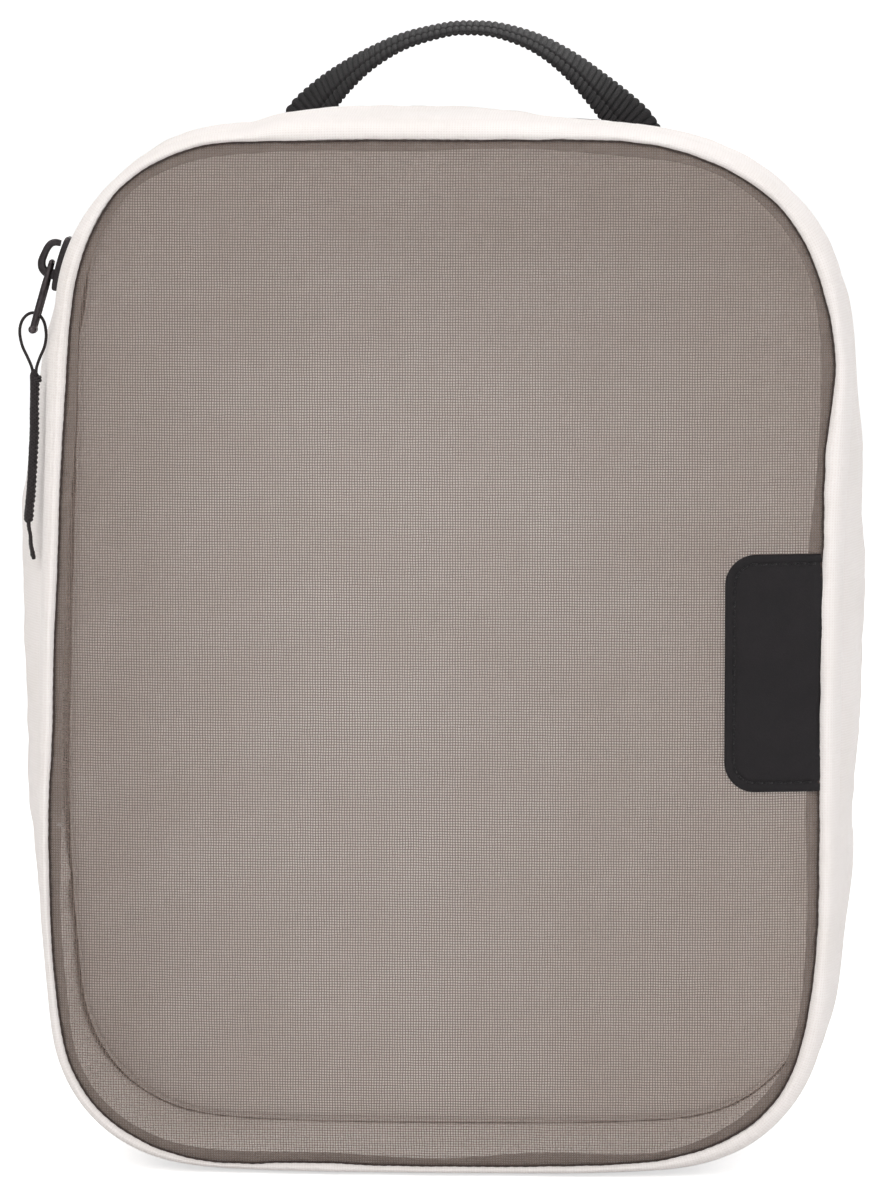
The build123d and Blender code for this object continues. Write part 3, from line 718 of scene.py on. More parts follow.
def run_cloth():
    """Start points and moves of the coarse shell, rows by columns, in mm."""
    edge, outward = EDGE[PROXY_AT], OUTWARD[PROXY_AT]
    rim, bulge = RIM[PROXY_AT][:, None], BULGE[PROXY_AT][:, None]
    rows, holds = [], []

    def add_row(line, y, hold):
        rows.append(np.stack([line[:, 0], np.full(PROXY_COLUMNS, y), line[:, 1]], -1))
        holds.append(np.full(PROXY_COLUMNS, hold, float))

    for share in PROXY_SHARES[::-1]:
        y = -44.6 - 4.0 * (1 - math.exp(-share * 9))
        add_row(edge + (CENTRE - edge) * share, y, 1.0 if share == 0 else 0.0)
    add_row(edge + outward * (rim * 0.35), -46.4, 0.97)
    add_row(edge + outward * (rim * 0.95), -41.5, 0.97)
    for t in np.linspace(0, 1, WALL_ROWS):
        line = edge + outward * (rim + bulge * bulge_shape(t))
        add_row(line, WALL_FRONT + WALL_DEPTH * t, 1.0 if t in (0, 1) else 0.0)
    for share in PROXY_SHARES[1:]:
        line = edge + outward * rim + (CENTRE - edge - outward * rim) * share
        add_row(line, 45.6, 0.9 if share < 0.05 else 0.0)

    grid = np.stack(rows, 0)
    count = len(rows)
    centres = [[CENTRE[0], -49.0, CENTRE[1]], [CENTRE[0], 45.6, CENTRE[1]]]
    vertices = np.vstack([grid.reshape(-1, 3), centres])
    ring = np.arange(PROXY_COLUMNS)
    total = count * PROXY_COLUMNS
    faces = np.vstack([
        grid_faces(count, PROXY_COLUMNS, False, True),
        fan(ring, total, flip=True),
        fan(total - PROXY_COLUMNS + ring, total + 1),
    ])
    proxy = write_mesh("drape_proxy", vertices, faces, SHELL)
    hold = np.r_[np.concatenate(holds), 0, 0]
    hold[vertices[:, 2] < 3.0] = 1.0  # stands on the ground
    group = proxy.vertex_groups.new(name="hold")
    for weight in np.unique(hold):
        if weight > 0:
            group.add([int(i) for i in np.nonzero(hold == weight)[0]], float(weight), "REPLACE")

    cloth = proxy.modifiers.new("cloth", "CLOTH")
    settings = dict(
        quality=6,
        mass=0.3,
        air_damping=3.0,
        tension_stiffness=25,
        compression_stiffness=25,
        shear_stiffness=8,
        bending_stiffness=0.15,
        vertex_group_mass="hold",
        shrink_min=-0.022,  # cut a little larger than its frame, so it puckers at the seams
        use_pressure=True,
        uniform_pressure_force=4.0,
    )
    for key, value in settings.items():
        setattr(cloth.settings, key, value)
    cloth.settings.effector_weights.gravity = 0
    cloth.collision_settings.use_collision = False
    cloth.collision_settings.use_self_collision = False
    cloth.point_cache.frame_start, cloth.point_cache.frame_end = 1, LAST_FRAME
    scene.frame_start, scene.frame_end = 1, LAST_FRAME
    for number in range(1, LAST_FRAME + 1):
        scene.frame_set(number)
    settled = proxy.evaluated_get(bpy.context.evaluated_depsgraph_get())
    out = np.empty(len(vertices) * 3, np.float32)
    settled.data.vertices.foreach_get("co", out)
    out = out.reshape(-1, 3).astype(float) / MM
    mesh = proxy.data
    bpy.data.objects.remove(proxy)
    bpy.data.meshes.remove(mesh)
    scene.frame_set(1)
    moves = (out - vertices)[:-2].reshape(count, PROXY_COLUMNS, 3)
    return grid, np.where(np.isfinite(moves), moves, 0.0)


def limit_length(moves, most):
    length = np.linalg.norm(moves, axis=-1, keepdims=True)
    return moves * (most * np.tanh(length / most) / np.maximum(length, 1e-9))


def cubic_sample(grid, row, column, wrap):
    """Catmull-Rom sample at fractional rows and columns; rows wrap if asked."""

    def weights(t):
        return [
            -0.5 * t + t**2 - 0.5 * t**3,
            1 - 2.5 * t**2 + 1.5 * t**3,
            0.5 * t + 2 * t**2 - 1.5 * t**3,
            -0.5 * t**2 + 0.5 * t**3,
        ]

    row, column = np.broadcast_arrays(row, column)
    i, j = np.floor(row).astype(int), np.floor(column).astype(int)
    row_weights, column_weights = weights(row - i), weights(column - j)
    rows, columns = grid.shape
    out = 0
    for a in range(4):
        near = i + a - 1
        near = near % rows if wrap else np.clip(near, 0, rows - 1)
        for b in range(4):
            value = grid[near, np.clip(j + b - 1, 0, columns - 1)]
            out = out + row_weights[a] * column_weights[b] * value
    return out


class DepthField:
    """Depth change over x, z, from scattered samples, on an even grid."""

    X_START, Z_START, STEP = -150.0, -15.0, 3.0
    SHAPE = (101, 127)

    def __init__(self, points, moves):
        points, values = points.reshape(-1, 3), moves.reshape(-1, 3)[:, 1] * 0.8
        tree = KDTree(len(points))
        for i, point in enumerate(points):
            tree.insert((point[0], point[2], 0), i)
        tree.balance()
        self.grid = np.zeros(self.SHAPE)
        for i, j in np.ndindex(self.SHAPE):
            at = (self.X_START + i * self.STEP, self.Z_START + j * self.STEP, 0)
            hits = tree.find_n(at, 5)
            weight = np.array([1.0 / (distance * distance + 2.0) for _, _, distance in hits])
            near = np.array([values[k] for _, k, _ in hits])
            self.grid[i, j] = (weight * near).sum() / weight.sum()
        kernel = np.array([0.25, 0.5, 0.25])
        for axis in (0, 1):
            self.grid = np.apply_along_axis(
                lambda line: np.convolve(np.pad(line, 1, mode="edge"), kernel, "valid"),
                axis, self.grid,
            )

    def at(self, x, z):
        row, column = (x - self.X_START) / self.STEP, (z - self.Z_START) / self.STEP
        return cubic_sample(self.grid, row, column, wrap=False)


proxy_grid, proxy_moves = run_cloth()
proxy_moves = limit_length(proxy_moves, MOST_DRAPE)
net_rows = len(PROXY_SHARES)
wall_start = net_rows + 2
wall_end = wall_start + WALL_ROWS
NET_DRAPE = DepthField(proxy_grid[:net_rows], proxy_moves[:net_rows])
BACK_DRAPE = DepthField(proxy_grid[wall_end:], proxy_moves[wall_end:])
wall_moves = proxy_moves[wall_start:wall_end]
proxy_outward = OUTWARD[PROXY_AT]
# columns by rows
WALL_OUT = (
    wall_moves[..., 0] * proxy_outward[:, 0] + wall_moves[..., 2] * proxy_outward[:, 1]
).T
WALL_Y = wall_moves[..., 1].T


def wall_drape(t):
    """Outward and depth change of the wall at each outline column and share t."""
    column = np.arange(COLUMNS)[:, None] * PROXY_COLUMNS / COLUMNS
    row = t[None] * (WALL_ROWS - 1)
    hold = np.sin(math.pi * np.clip(t, 0, 1)) ** 0.3
    out = cubic_sample(WALL_OUT, column, row, wrap=True) * hold
    return out, cubic_sample(WALL_Y, column, row, wrap=True) * hold * 0.5


# =============================================================================
# side wall: one padded band from the zip to the back seam
# =============================================================================
# the lip beside the zip: outward distance from the rim, y
LIP = np.array([(-1.5, -32.9), (-1.15, -33.35), (-0.7, -33.3), (-0.3, -32.9)])
LINING_GAP = 1.25


def build_side_wall():
    t = np.linspace(0, 1, 60)
    y_face = WALL_FRONT + WALL_DEPTH * t
    rim = RIM[:, None]
    middle = np.sin(math.pi * t)
    # padded outer face: soft dents, and puckers by the two seams
    near_zip = np.exp(-((y_face - y_face[0]) / 9.0) ** 2)
    near_back = np.exp(-((y_face - y_face[-1]) / 8.0) ** 2)
    dent = 0.70 * ring_waves(RUN_COLUMN, y_face * 1.3, 11, 46, 120, 10) * middle
    padded = rim + BULGE[:, None] * bulge_shape(t) + dent * (1 - 0.8 * OFF_BOTTOM)
    fine = 0.13 * ring_waves(RUN_COLUMN, y_face, 12, 9, 24, 16) * middle**0.5
    phase = 2.2 * ring_waves(RUN_COLUMN, 0, 13, 60, 160, 6)
    amount = np.clip(0.45 + 0.55 * ring_waves(RUN_COLUMN, 0, 14, 70, 200, 6), 0.05, 1.3)
    pucker = amount * (
        0.20 * ring_sin(RUN_COLUMN, 9.5, phase) * near_zip
        + 0.34 * ring_sin(RUN_COLUMN, 12.5, 1.7 * phase) * near_back
    )
    pucker = pucker * np.sin(math.pi * np.clip(t * 6, 0, 1) * 0.5) * (1 - 0.75 * OFF_BOTTOM)
    face = padded + fine + pucker
    # no open lips where the band runs on to the front
    open_lip = 1 - HINGE_SOFT[:, None]
    lip = rim + LIP[:, 0] * (0.25 + 0.75 * open_lip)
    y_lip = LIP[:, 1] * open_lip + (1 - open_lip) * (-32.45)
    drape, y_drape = wall_drape(t)
    out = np.hstack([lip, face])
    y = np.hstack([y_lip, y_face + y_drape])
    out = out - set_back(y)
    # turn in at the back seam
    out = np.hstack([out, rim - 0.5, rim - 1.3])
    y = np.hstack([y, np.full((COLUMNS, 1), 44.75), np.full((COLUMNS, 1), 44.5)])
    # lining face, which alone takes the outward drape
    corner = smoothstep(282, 312, EDGE_Z) * (1 - ON_TOP) + ON_TOP
    drape = drape * (1 - 0.75 * np.clip(corner, 0, 1)[:, None])
    lining = (padded + drape * (1 - 0.9 * OFF_BOTTOM))[:, ::-3] - LINING_GAP
    y_lining = np.clip(y_face[::-3], -31.9, 43.4)
    out = np.hstack([out, lining])
    y = np.hstack([y, np.broadcast_to(y_lining, lining.shape)])
    across = run_length(np.stack([out[100], y[100]], -1))
    obj = ring_mesh("side_wall_cloth", ground(place(out, y)), SHELL, across)
    assign(obj, "case", "shell_fabric", "side_wall")


# =============================================================================
# lid border and hinge strip share one rolled section
# =============================================================================
# outward share of the border width, y
ROLL = [
    (0.00, -44.35), (0.02, -45.2), (0.10, -46.0), (0.26, -46.65), (0.44, -46.55),
    (0.62, -45.8), (0.79, -44.2), (0.92, -42.0), (0.985, -39.8), (1.0, -37.8),
    (0.985, -36.2), (0.93, -35.2), (0.85, -34.75), (0.77, -34.85),
]
BACKING = [
    (0.74, -35.6), (0.80, -38.0), (0.74, -41.0), (0.60, -43.2), (0.40, -44.4),
    (0.20, -44.4), (0.06, -44.0),
]
HINGE_TAIL = [
    (1.0, -37.0), (1.0, -36.0), (0.985, -35.2), (0.965, -34.6), (0.95, -34.1),
    (0.96, -33.6), (0.98, -33.1), (0.985, -32.75),
]
CUT = 0.46  # share at which the roll passes from the lid to the hinge strip
HINGE_START = CUT + 0.004
HINGE_INNER = [
    (0.80, -32.8), (0.79, -36.0), (0.78, -39.0), (0.72, -42.0), (0.62, -43.6),
    (0.50, -44.3), (HINGE_START, -44.5),
]
ROLL_SECTION = catmull(ROLL, 5)
ROLL_FACE = ROLL_SECTION[:30]  # its forward-facing part
CUT_Y = np.interp(CUT, ROLL_FACE[:, 0], ROLL_FACE[:, 1])
CUT_INNER_Y = -44.3
UV_BORDER_WIDTH = 6.2

# the window's fabric edge isn't quite straight: its small in-and-out wave
EDGE_WAVE = 0.26 * ring_waves(RUN, 0, 21, 40, 110, 8) + 0.05 * ring_waves(RUN, 0, 22, 9, 18, 10)
EDGE_WAVE = EDGE_WAVE * (1 - 0.5 * ON_LEFT)


def border_relief(share, on_face):
    """Forward relief of the roll at each column and share, none off its face."""
    relief = 0.10 * ring_waves(RUN_COLUMN, share * 7, 23, 8, 18, 14)
    relief = relief + 0.30 * ring_waves(RUN_COLUMN, share * 6, 24, 30, 80, 8)
    fade = np.exp(-((share - 0.3) / 0.5) ** 2) * np.exp(-np.clip(share - 0.75, 0, 1) * 9)
    return relief * fade * on_face


def section_run(share, y):
    return run_length(np.stack([share * UV_BORDER_WIDTH, y], -1))


def build_lid_border():
    share, y = np.vstack([ROLL_SECTION, catmull(BACKING, 2)]).T
    on_face = np.arange(len(share)) < len(ROLL_SECTION)
    relief = border_relief(share, on_face)
    depth = y - relief
    out = RIM[:, None] * share + EDGE_WAVE[:, None] * np.exp(-(share / 0.35) ** 2)
    out -= set_back(depth) * (share > 0.5)
    # where the lid joins the case the roll belongs to the case: stop at the hinge line
    beyond = share > CUT
    front, rear = beyond & on_face, beyond & ~on_face
    half_way = (CUT_Y + CUT_INNER_Y) / 2
    cut_relief = relief[HINGE, np.argmin(abs(share[:30] - CUT))][:, None]
    out[np.ix_(HINGE, beyond)] = RIM[HINGE][:, None] * CUT
    depth[np.ix_(HINGE, front)] = np.linspace(CUT_Y, half_way, front.sum()) - cut_relief
    depth[np.ix_(HINGE, rear)] = np.linspace(half_way, CUT_INNER_Y, rear.sum())
    points = ground(place(out, depth))
    obj = ring_mesh("lid_border_cloth", points, SHELL, section_run(share, y))
    assign(obj, "lid", "shell_fabric", "lid_border")


def build_hinge_strip():
    columns = np.nonzero(HINGE)[0]
    first, last = columns[0], columns[-1]
    # covers the lid's cut at both ends
    columns = np.r_[first - 2, first - 1, columns, last + 1, last + 2]
    roll = ROLL_SECTION[(ROLL_SECTION[:, 0] > HINGE_START) & (ROLL_SECTION[:, 1] < -37.4)]
    outer = np.vstack([[(HINGE_START, CUT_Y)], roll, HINGE_TAIL])
    share, y = np.vstack([outer, HINGE_INNER]).T
    on_face = np.arange(len(share)) < len(outer)
    depth = y - border_relief(share, on_face)[columns]
    out = RIM[columns][:, None] * share
    # the zip groove runs on below the slider and fades out
    groove = np.interp(EDGE_Z[columns], [190, 215, 280, 312], [0.05, 0.5, 1.0, 1.1])[:, None]
    out -= groove * np.exp(-((depth - Y_ZIP) / 0.75) ** 2) * on_face
    out -= set_back(depth, columns)
    depth[:, on_face] -= 0.05
    vertices, faces = capped(place(out, depth, columns))
    size = len(share)
    # Reversed, the first end's fan rows are no longer marked as triangles;
    # validate() drops them and that end stays open.
    first_cap = slice(-2 * size, -size)
    faces[first_cap] = faces[first_cap, ::-1].copy()
    uv = grid_uv(RUN[columns], section_run(share, y))
    uv = np.vstack([uv, uv[0], uv[-size]])
    obj = write_mesh("hinge_strip_cloth", vertices, faces, SHELL, uv)
    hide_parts("hinge_strip")
    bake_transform(obj)


# =============================================================================
# net window: one sheet, held at the border, crowned and slightly rippled
# =============================================================================
NET_RIM = 14.0  # rings follow the edge this far in, then shrink to the centre
NET_REACH = 120.0


def net_depth(x, z, inset):
    """y of the net at x, z, inset mm in from the window edge."""
    crown = 2.6 * (1 - np.exp(-inset / 26.0)) + 1.2 * (1 - np.exp(-inset / 90.0))
    ripple = 0.40 * waves(x, z, 31, 60, 150, 8) * (1 - np.exp(-inset / 20.0))
    ripple = ripple + 0.07 * waves(x, z, 32, 14, 30, 10) * (1 - np.exp(-inset / 9.0))
    drape = NET_DRAPE.at(x, z) * (1 - np.exp(-inset / 3.0))
    return -44.6 - crown - ripple + drape


def build_net():
    insets = np.r_[np.linspace(-0.9, NET_RIM, 22), np.linspace(15.5, 40, 14)]
    insets = np.r_[insets, np.linspace(44, 118, 22)]
    inner = EDGE - OUTWARD * NET_RIM
    rings = []
    for inset in insets:
        if inset <= NET_RIM:
            out = EDGE_WAVE * np.exp(-max(inset, 0) / 4) - inset
            rings.append(EDGE + OUTWARD * out[:, None])
        else:
            rings.append(inner + (CENTRE - inner) * ((inset - NET_RIM) / (NET_REACH - NET_RIM)))
    rings = np.stack(rings, 1)
    y = net_depth(rings[..., 0], rings[..., 1], np.clip(insets, 0, None)[None])
    # small puckers where the net is gathered into the seam
    phase = ring_waves(RUN_COLUMN, 0, 33, 70, 200, 5) * 2
    gather = np.clip(0.35 + 0.65 * ring_waves(RUN_COLUMN, 0, 34, 90, 260, 5), 0, 1.2)
    near_seam = np.exp(-((insets - 3.5) / 3.2) ** 2)
    y = y - ring_sin(RUN_COLUMN, 7.5, phase) * near_seam * 0.22 * gather
    count = len(insets)
    vertices = np.stack([rings[..., 0], y, rings[..., 1]], -1).reshape(-1, 3)
    vertices = np.vstack([vertices, [CENTRE[0], y[:, -1].mean() - 0.02, CENTRE[1]]])
    last = np.arange(COLUMNS) * count + count - 1
    faces = np.vstack([grid_faces(COLUMNS, count, True), fan(last, COLUMNS * count)])
    obj = write_mesh("mesh_window_net", vertices, faces, NET, vertices[:, [0, 2]])
    assign(obj, "lid", "window_mesh", "mesh_window")


def build_net_binding():
    """Tape folded behind the net's edge."""
    width = 4.1 + 0.5 * ring_waves(RUN_COLUMN, 0, 41, 50, 140, 6)
    share = np.linspace(0, 1, 9)
    out = -(share * width) + 0.6
    front = place(out, 0.0)
    y = net_depth(front[..., 0], front[..., 2], np.clip(-out, 0, None))
    front[..., 1] = y + 0.45 + 0.12 * ring_waves(RUN_COLUMN, share * 4, 42, 6, 14, 10)
    rear = front.copy()
    rear[..., 1] += 0.45
    points = np.concatenate([front, rear[:, ::-1]], 1)
    across = np.arange(points.shape[1]) * 0.5
    obj = ring_mesh("mesh_edge_binding_tape", points, NET_BINDING, across)
    assign(obj, "lid", "mesh_binding", "mesh_edge_binding")


def build_seam_cord():
    """Dark seam line in the crease between border and net: the seam's own dark edge, with the
    crease's shadow painted into its dark colour.
    """
    beads = np.sin(RUN * 2 * math.pi / 3.1)
    path = place((EDGE_WAVE - 0.25)[:, None], (-45.05 - 0.1 * beads)[:, None])[:, 0]
    vertices, faces, uv = tube(path, 0.34 + 0.05 * beads, 8, closed=True)
    obj = write_mesh("window_seam_line", vertices, faces, SEAM_EDGE_AND_SHADOW, uv)
    assign(obj, "lid", "seam_thread", "window_seam_cord")


# =============================================================================
# zip: tapes, coils, stops
# =============================================================================
COIL_INSET = 2.5
COIL_LINE = EDGE + OUTWARD * (RIM - COIL_INSET)[:, None]
COIL_PITCH = 1.55
STOP_HEIGHTS = (285.3, 59.5)
# stretches of the outline that carry each half of the zip
CASE_ZIP = ~(LEFT & (EDGE_Z > 59.5) & (EDGE_Z < 284.6))
LID_ZIP = ~(LEFT & (EDGE_Z > HINGE_LOW) & (EDGE_Z < HINGE_HIGH - 1.0))
# tape sections: outward distance from the rim, y
CASE_TAPE = [
    (-3.95, -33.7), (-3.95, -32.2), (-3.3, -30.4), (-1.7, -28.6), (-1.45, -26.0), (-1.45, -21.5),
]
LID_TAPE = [(-3.95, -34.3), (-3.95, -35.8), (-3.4, -37.4), (-2.4, -39.2), (-2.0, -41.2)]
BACK_TAPE = [(-1.6, 43.2), (-1.6, 37.5)]


def stretch(mask):
    """Columns of the mask in order, starting after its gap if it has one."""
    if mask.all():
        return np.arange(COLUMNS)
    start = np.nonzero(~mask)[0].max() + 1
    return (start + np.arange(mask.sum())) % COLUMNS


def build_tape(name, mask, section, thickness, material, body, slot, node, count=12):
    """A thin band along the masked stretch of the outline."""
    columns = stretch(mask)
    closed = len(columns) == COLUMNS
    face = resample(catmull(section, 6), count)
    along = unit(np.gradient(face, axis=0))
    normal = np.stack([-along[:, 1], along[:, 0]], -1)
    normal *= -np.sign(normal[:, 0].mean())
    loop = np.vstack([face, (face + normal * thickness)[::-1]])
    out = RIM[columns][:, None] + loop[:, 0]
    points = ground(place(out, loop[:, 1], columns), 0.4)
    rows, size = points.shape[:2]
    across = run_length(face)
    uv = grid_uv(np.arange(rows) * (GIRTH / COLUMNS), np.r_[across, across[::-1]])
    faces = [grid_faces(rows, size, closed, True)]
    if not closed:
        k = np.arange(count - 1)
        cap = np.stack([k, k + 1, size - 2 - k, size - 1 - k], -1)
        faces += [cap, cap + (rows - 1) * size]
    wrap = GIRTH if closed else 0.0
    obj = write_mesh(name, points, np.vstack(faces), material, uv, wrap=wrap)
    assign(obj, body, slot, node)


def build_coil(name, mask, side, body, node):
    """Nylon coil: a fine helix along the zip, behind it (side 1) or before it (side -1)."""
    columns = stretch(mask)
    line = COIL_LINE[columns]
    run = run_length(line)
    at = np.linspace(0, run[-1], int(run[-1] / COIL_PITCH * 10))
    phase = TAU * at / COIL_PITCH + (math.pi if side > 0 else 0)
    swing = 0.85 * np.sin(phase)[:, None]
    x, z = (sample(at, run, line) + sample(at, run, OUTWARD[columns]) * swing).T
    y = Y_ZIP + side * 1.56 - side * 1.18 * np.cos(phase)
    path = np.stack([x, y, np.maximum(z, 0.75)], -1)
    vertices, faces, uv = tube(path, 0.34, 5)
    assign(write_mesh(name, vertices, faces, COIL, uv), body, "zip_coil", node)


def build_end_stops():
    """Crimped end stops over the ends of the coil."""
    pile = Pile()
    turn = np.linspace(0, TAU, 25)[:-1]
    cos, sin = np.cos(turn), np.sin(turn)
    y = Y_ZIP + np.sign(cos) * np.abs(cos) ** 0.55 * 2.45
    rise = (np.sign(sin) * np.abs(sin) ** 0.55 * 1.15)[:, None]
    for height in STOP_HEIGHTS:
        i = np.nonzero(LEFT)[0][np.argmin(abs(EDGE_Z[LEFT] - height))]
        for offset in (-0.62, 0.62):
            x, z = (COIL_LINE[i] + OUTWARD[i] * rise + ALONG[i] * offset).T
            pile.add(*tube(np.stack([x, y, z], -1), 0.52, 8, closed=True))
    obj = pile.mesh("zip_end_stops_staples", METAL)
    assign(obj, "case", "slider_metal", "zip_end_stops")


def build_zip():
    for body, mask, section in (("case", CASE_ZIP, CASE_TAPE), ("lid", LID_ZIP, LID_TAPE)):
        name, node = f"{body}_zip_tape_weave", f"{body}_zip_tape"
        build_tape(name, mask, section, 0.4, TAPE, body, "zip_tape", node)
    build_coil("case_zip_coil_helix", CASE_ZIP, 1, "case", "case_zip_coil")
    build_coil("lid_zip_coil_helix", LID_ZIP, -1, "lid", "lid_zip_coil")
    build_end_stops()


# =============================================================================
# back panel and its binding
# =============================================================================
# outward distance from the rim, y
BACK_EDGE = [
    (0.1, 44.35), (-0.5, 44.75), (-1.3, 45.15), (-2.6, 45.55), (-4.5, 45.85), (-8, 46.1),
    (-14, 46.3),
]


def build_back():
    # outer face: from the seam to the middle
    rings = [EDGE + OUTWARD * (RIM + out)[:, None] for out, _ in BACK_EDGE]
    inner = rings[-1]
    shares = np.linspace(0.04, 0.97, 24)
    rings = np.stack(rings + [inner + (CENTRE - inner) * share for share in shares], 1)
    x, z = rings[..., 0], rings[..., 1]
    inset = np.r_[[-out for out, _ in BACK_EDGE], 14 + 110 * shares]
    y = np.r_[[depth for _, depth in BACK_EDGE], np.full(len(shares), 46.3)]
    fade = np.clip((inset - 2) / 22, 0, 1)
    swell = 0.55 * waves(x, z, 51, 60, 170, 9) + 0.12 * waves(x, z, 52, 12, 30, 12)
    y = y + fade * swell * 0.6
    y = y + BACK_DRAPE.at(x, z) * np.clip((inset - 1.5) / 5, 0, 1)
    phase = 2 * ring_waves(RUN_COLUMN, 0, 53, 60, 160, 6)
    near_seam = np.exp(-((inset - 7) / 5.0) ** 2)
    y = y - 0.26 * ring_sin(RUN_COLUMN, 11.0, phase) * near_seam * (1 - 0.5 * OFF_BOTTOM)
    outer = ground(np.stack([x, y, z], -1)).reshape(-1, 3)
    outer_centre = [CENTRE[0], y[:, -1].mean(), CENTRE[1]]
    # lining face
    x_in, z_in, inset_in = x[:, ::3], z[:, ::3], inset[::3]
    sag = (0.8 * waves(x_in, z_in, 54, 40, 150, 9) - 0.8) * np.clip((inset_in - 3) / 20, 0, 1)
    y_in = 43.9 - 0.35 * np.clip(inset_in / 20, 0, 1) + sag
    lining = ground(np.stack([x_in, y_in, z_in], -1), 1.2).reshape(-1, 3)
    lining_centre = [CENTRE[0], y_in[:, -1].mean(), CENTRE[1]]
    vertices = np.vstack([outer, outer_centre, lining, lining_centre])
    size, size_in = len(inset), len(inset_in)
    base = len(outer) + 1
    outer_rim = np.arange(COLUMNS) * size
    lining_rim = base + np.arange(COLUMNS) * size_in
    faces = np.vstack([
        grid_faces(COLUMNS, size, True, flip=True),
        fan(outer_rim + size - 1, len(outer), flip=True),
        grid_faces(COLUMNS, size_in, True, base=base),
        fan(lining_rim + size_in - 1, len(vertices) - 1),
        band(outer_rim, lining_rim),  # joins the two faces at the seam
    ])
    obj = write_mesh("back_panel_cloth", vertices, faces, SHELL, vertices[:, [0, 2]])
    assign(obj, "case", "shell_fabric", "back_panel")
    build_tape(
        "back_seam_binding_tape", np.ones(COLUMNS, bool), BACK_TAPE, 0.5, BINDING,
        "case", "seam_binding", "back_seam_binding", count=7,
    )


def stitches(name, line, normal, pitch, length, radius, material, lift, sag):
    """Separate stitches along a line, raised at the middle and sunk at the ends."""
    run = run_length(line)
    pile = Pile()
    arch = np.sin(np.linspace(0, math.pi, 5))
    height = lift * arch - sag * (1 - arch)
    radii = radius * np.array([0.75, 1, 1, 1, 0.75])
    for i in range(int(run[-1] / pitch)):
        middle = (i + 0.5) * pitch
        at = np.linspace(middle - length / 2, middle + length / 2, 5)
        pile.add(*tube(sample(at, run, line) + normal * height[:, None], radii, 6))
    return pile.mesh(name, material)


# =============================================================================
# patch: leather, sewn on at the right of the window
# =============================================================================
PATCH_LEFT, PATCH_RIGHT, PATCH_BOTTOM, PATCH_TOP = 94.0, 125.6, 128.6, 206.2
PATCH_POINTS = 220
PATCH_HEIGHT = 1.3
STITCH_INSET = 3.1
# inset from the outline, height above the net: rounded edge and sewn groove
PATCH_PROFILE = [
    (0.35, 0.0), (0.0, 0.25), (0.0, 0.6), (0.12, 0.95), (0.45, 1.16), (1.0, 1.24),
    (1.8, 1.22), (2.45, 1.12), (STITCH_INSET, 0.74), (3.75, 1.12), (4.8, 1.24), (7.0, 1.28),
    (10.0, PATCH_HEIGHT),
]


def patch_line(inset, count):
    """x, z of the patch outline: right edge open, left corners rounded."""
    radius = max(10.0 - inset, 2.0)
    left, bottom, top = PATCH_LEFT + inset, PATCH_BOTTOM + inset, PATCH_TOP - inset
    turn = np.linspace(0, math.pi / 2, 12)
    near, far = radius * np.sin(turn), radius * np.cos(turn)
    upper = np.stack([left + radius - near, top - radius + far], -1)
    lower = np.stack([left + radius - far, bottom + radius - near], -1)
    return resample(np.vstack([(PATCH_RIGHT, top), upper, lower, (PATCH_RIGHT, bottom)]), count)


def on_net(line, height):
    """Points of an x, z line, height above the front of the net."""
    inset = np.sqrt(((line[:, None] - EDGE[None, ::3]) ** 2).sum(-1)).min(1)
    y = net_depth(line[:, 0], line[:, 1], inset) - 0.25 - height
    return np.stack([line[:, 0], y, line[:, 1]], -1)


def apply_modifiers(obj):
    depsgraph = bpy.context.evaluated_depsgraph_get()
    mesh = bpy.data.meshes.new_from_object(obj.evaluated_get(depsgraph), depsgraph=depsgraph)
    old = obj.data
    obj.modifiers.clear()
    obj.data = mesh
    bpy.data.meshes.remove(old)


def build_patch():
    columns = [on_net(patch_line(inset, PATCH_POINTS), h) for inset, h in PATCH_PROFILE]
    # fill the middle by drawing the inner ring to the right edge line
    inner = patch_line(PATCH_PROFILE[-1][0], PATCH_POINTS)
    right_z = np.interp(np.linspace(0, 1, PATCH_POINTS), [0, 1], inner[[0, -1], 1])
    right = np.stack([np.full(PATCH_POINTS, PATCH_RIGHT), right_z], -1)
    for share in np.linspace(0.12, 1, 10):
        columns.append(on_net(inner + (right - inner) * share, PATCH_HEIGHT))
    grid = np.stack(columns, 1)
    # tuck the right edge under the border
    grid[..., 1] += np.clip((grid[..., 0] - (PATCH_RIGHT - 3.0)) / 3.0, 0, 1) * 0.9
    vertices = grid.reshape(-1, 3)
    faces = grid_faces(PATCH_POINTS, len(columns))
    obj = write_mesh("leather_patch_hide", vertices, faces, LEATHER, vertices[:, [0, 2]])
    solidify = obj.modifiers.new("thickness", "SOLIDIFY")
    solidify.thickness = 0.5 * MM
    solidify.offset = -1
    apply_modifiers(obj)
    assign(obj, "lid", "patch_leather", "leather_patch")
    line = patch_line(STITCH_INSET, 260)
    line = on_net(line[line[:, 0] < PATCH_RIGHT - 1.5], 1.02)
    row = stitches(
        "patch_stitch_row", line, -Y_AXIS, pitch=3.2, length=2.2, radius=0.36,
        material=THREAD, lift=0.16, sag=0.34,
    )
    assign(row, "lid", "patch_thread", "patch_stitching")


# =============================================================================
# slider and link
# =============================================================================
LINK_TOP = JOINT_AT["pull_swing"]
LINK_BAR = JOINT_AT["cord_swing"]
SLIDER_TILT = math.radians(16.0)
SLIDER_OUT = np.array([-math.cos(SLIDER_TILT), 0, math.sin(SLIDER_TILT)])
SLIDER_UP = np.array([math.sin(SLIDER_TILT), 0, math.cos(SLIDER_TILT)])
SLIDER_ORIGIN = CORNER + SLIDER_OUT * SLIDER_RADIUS
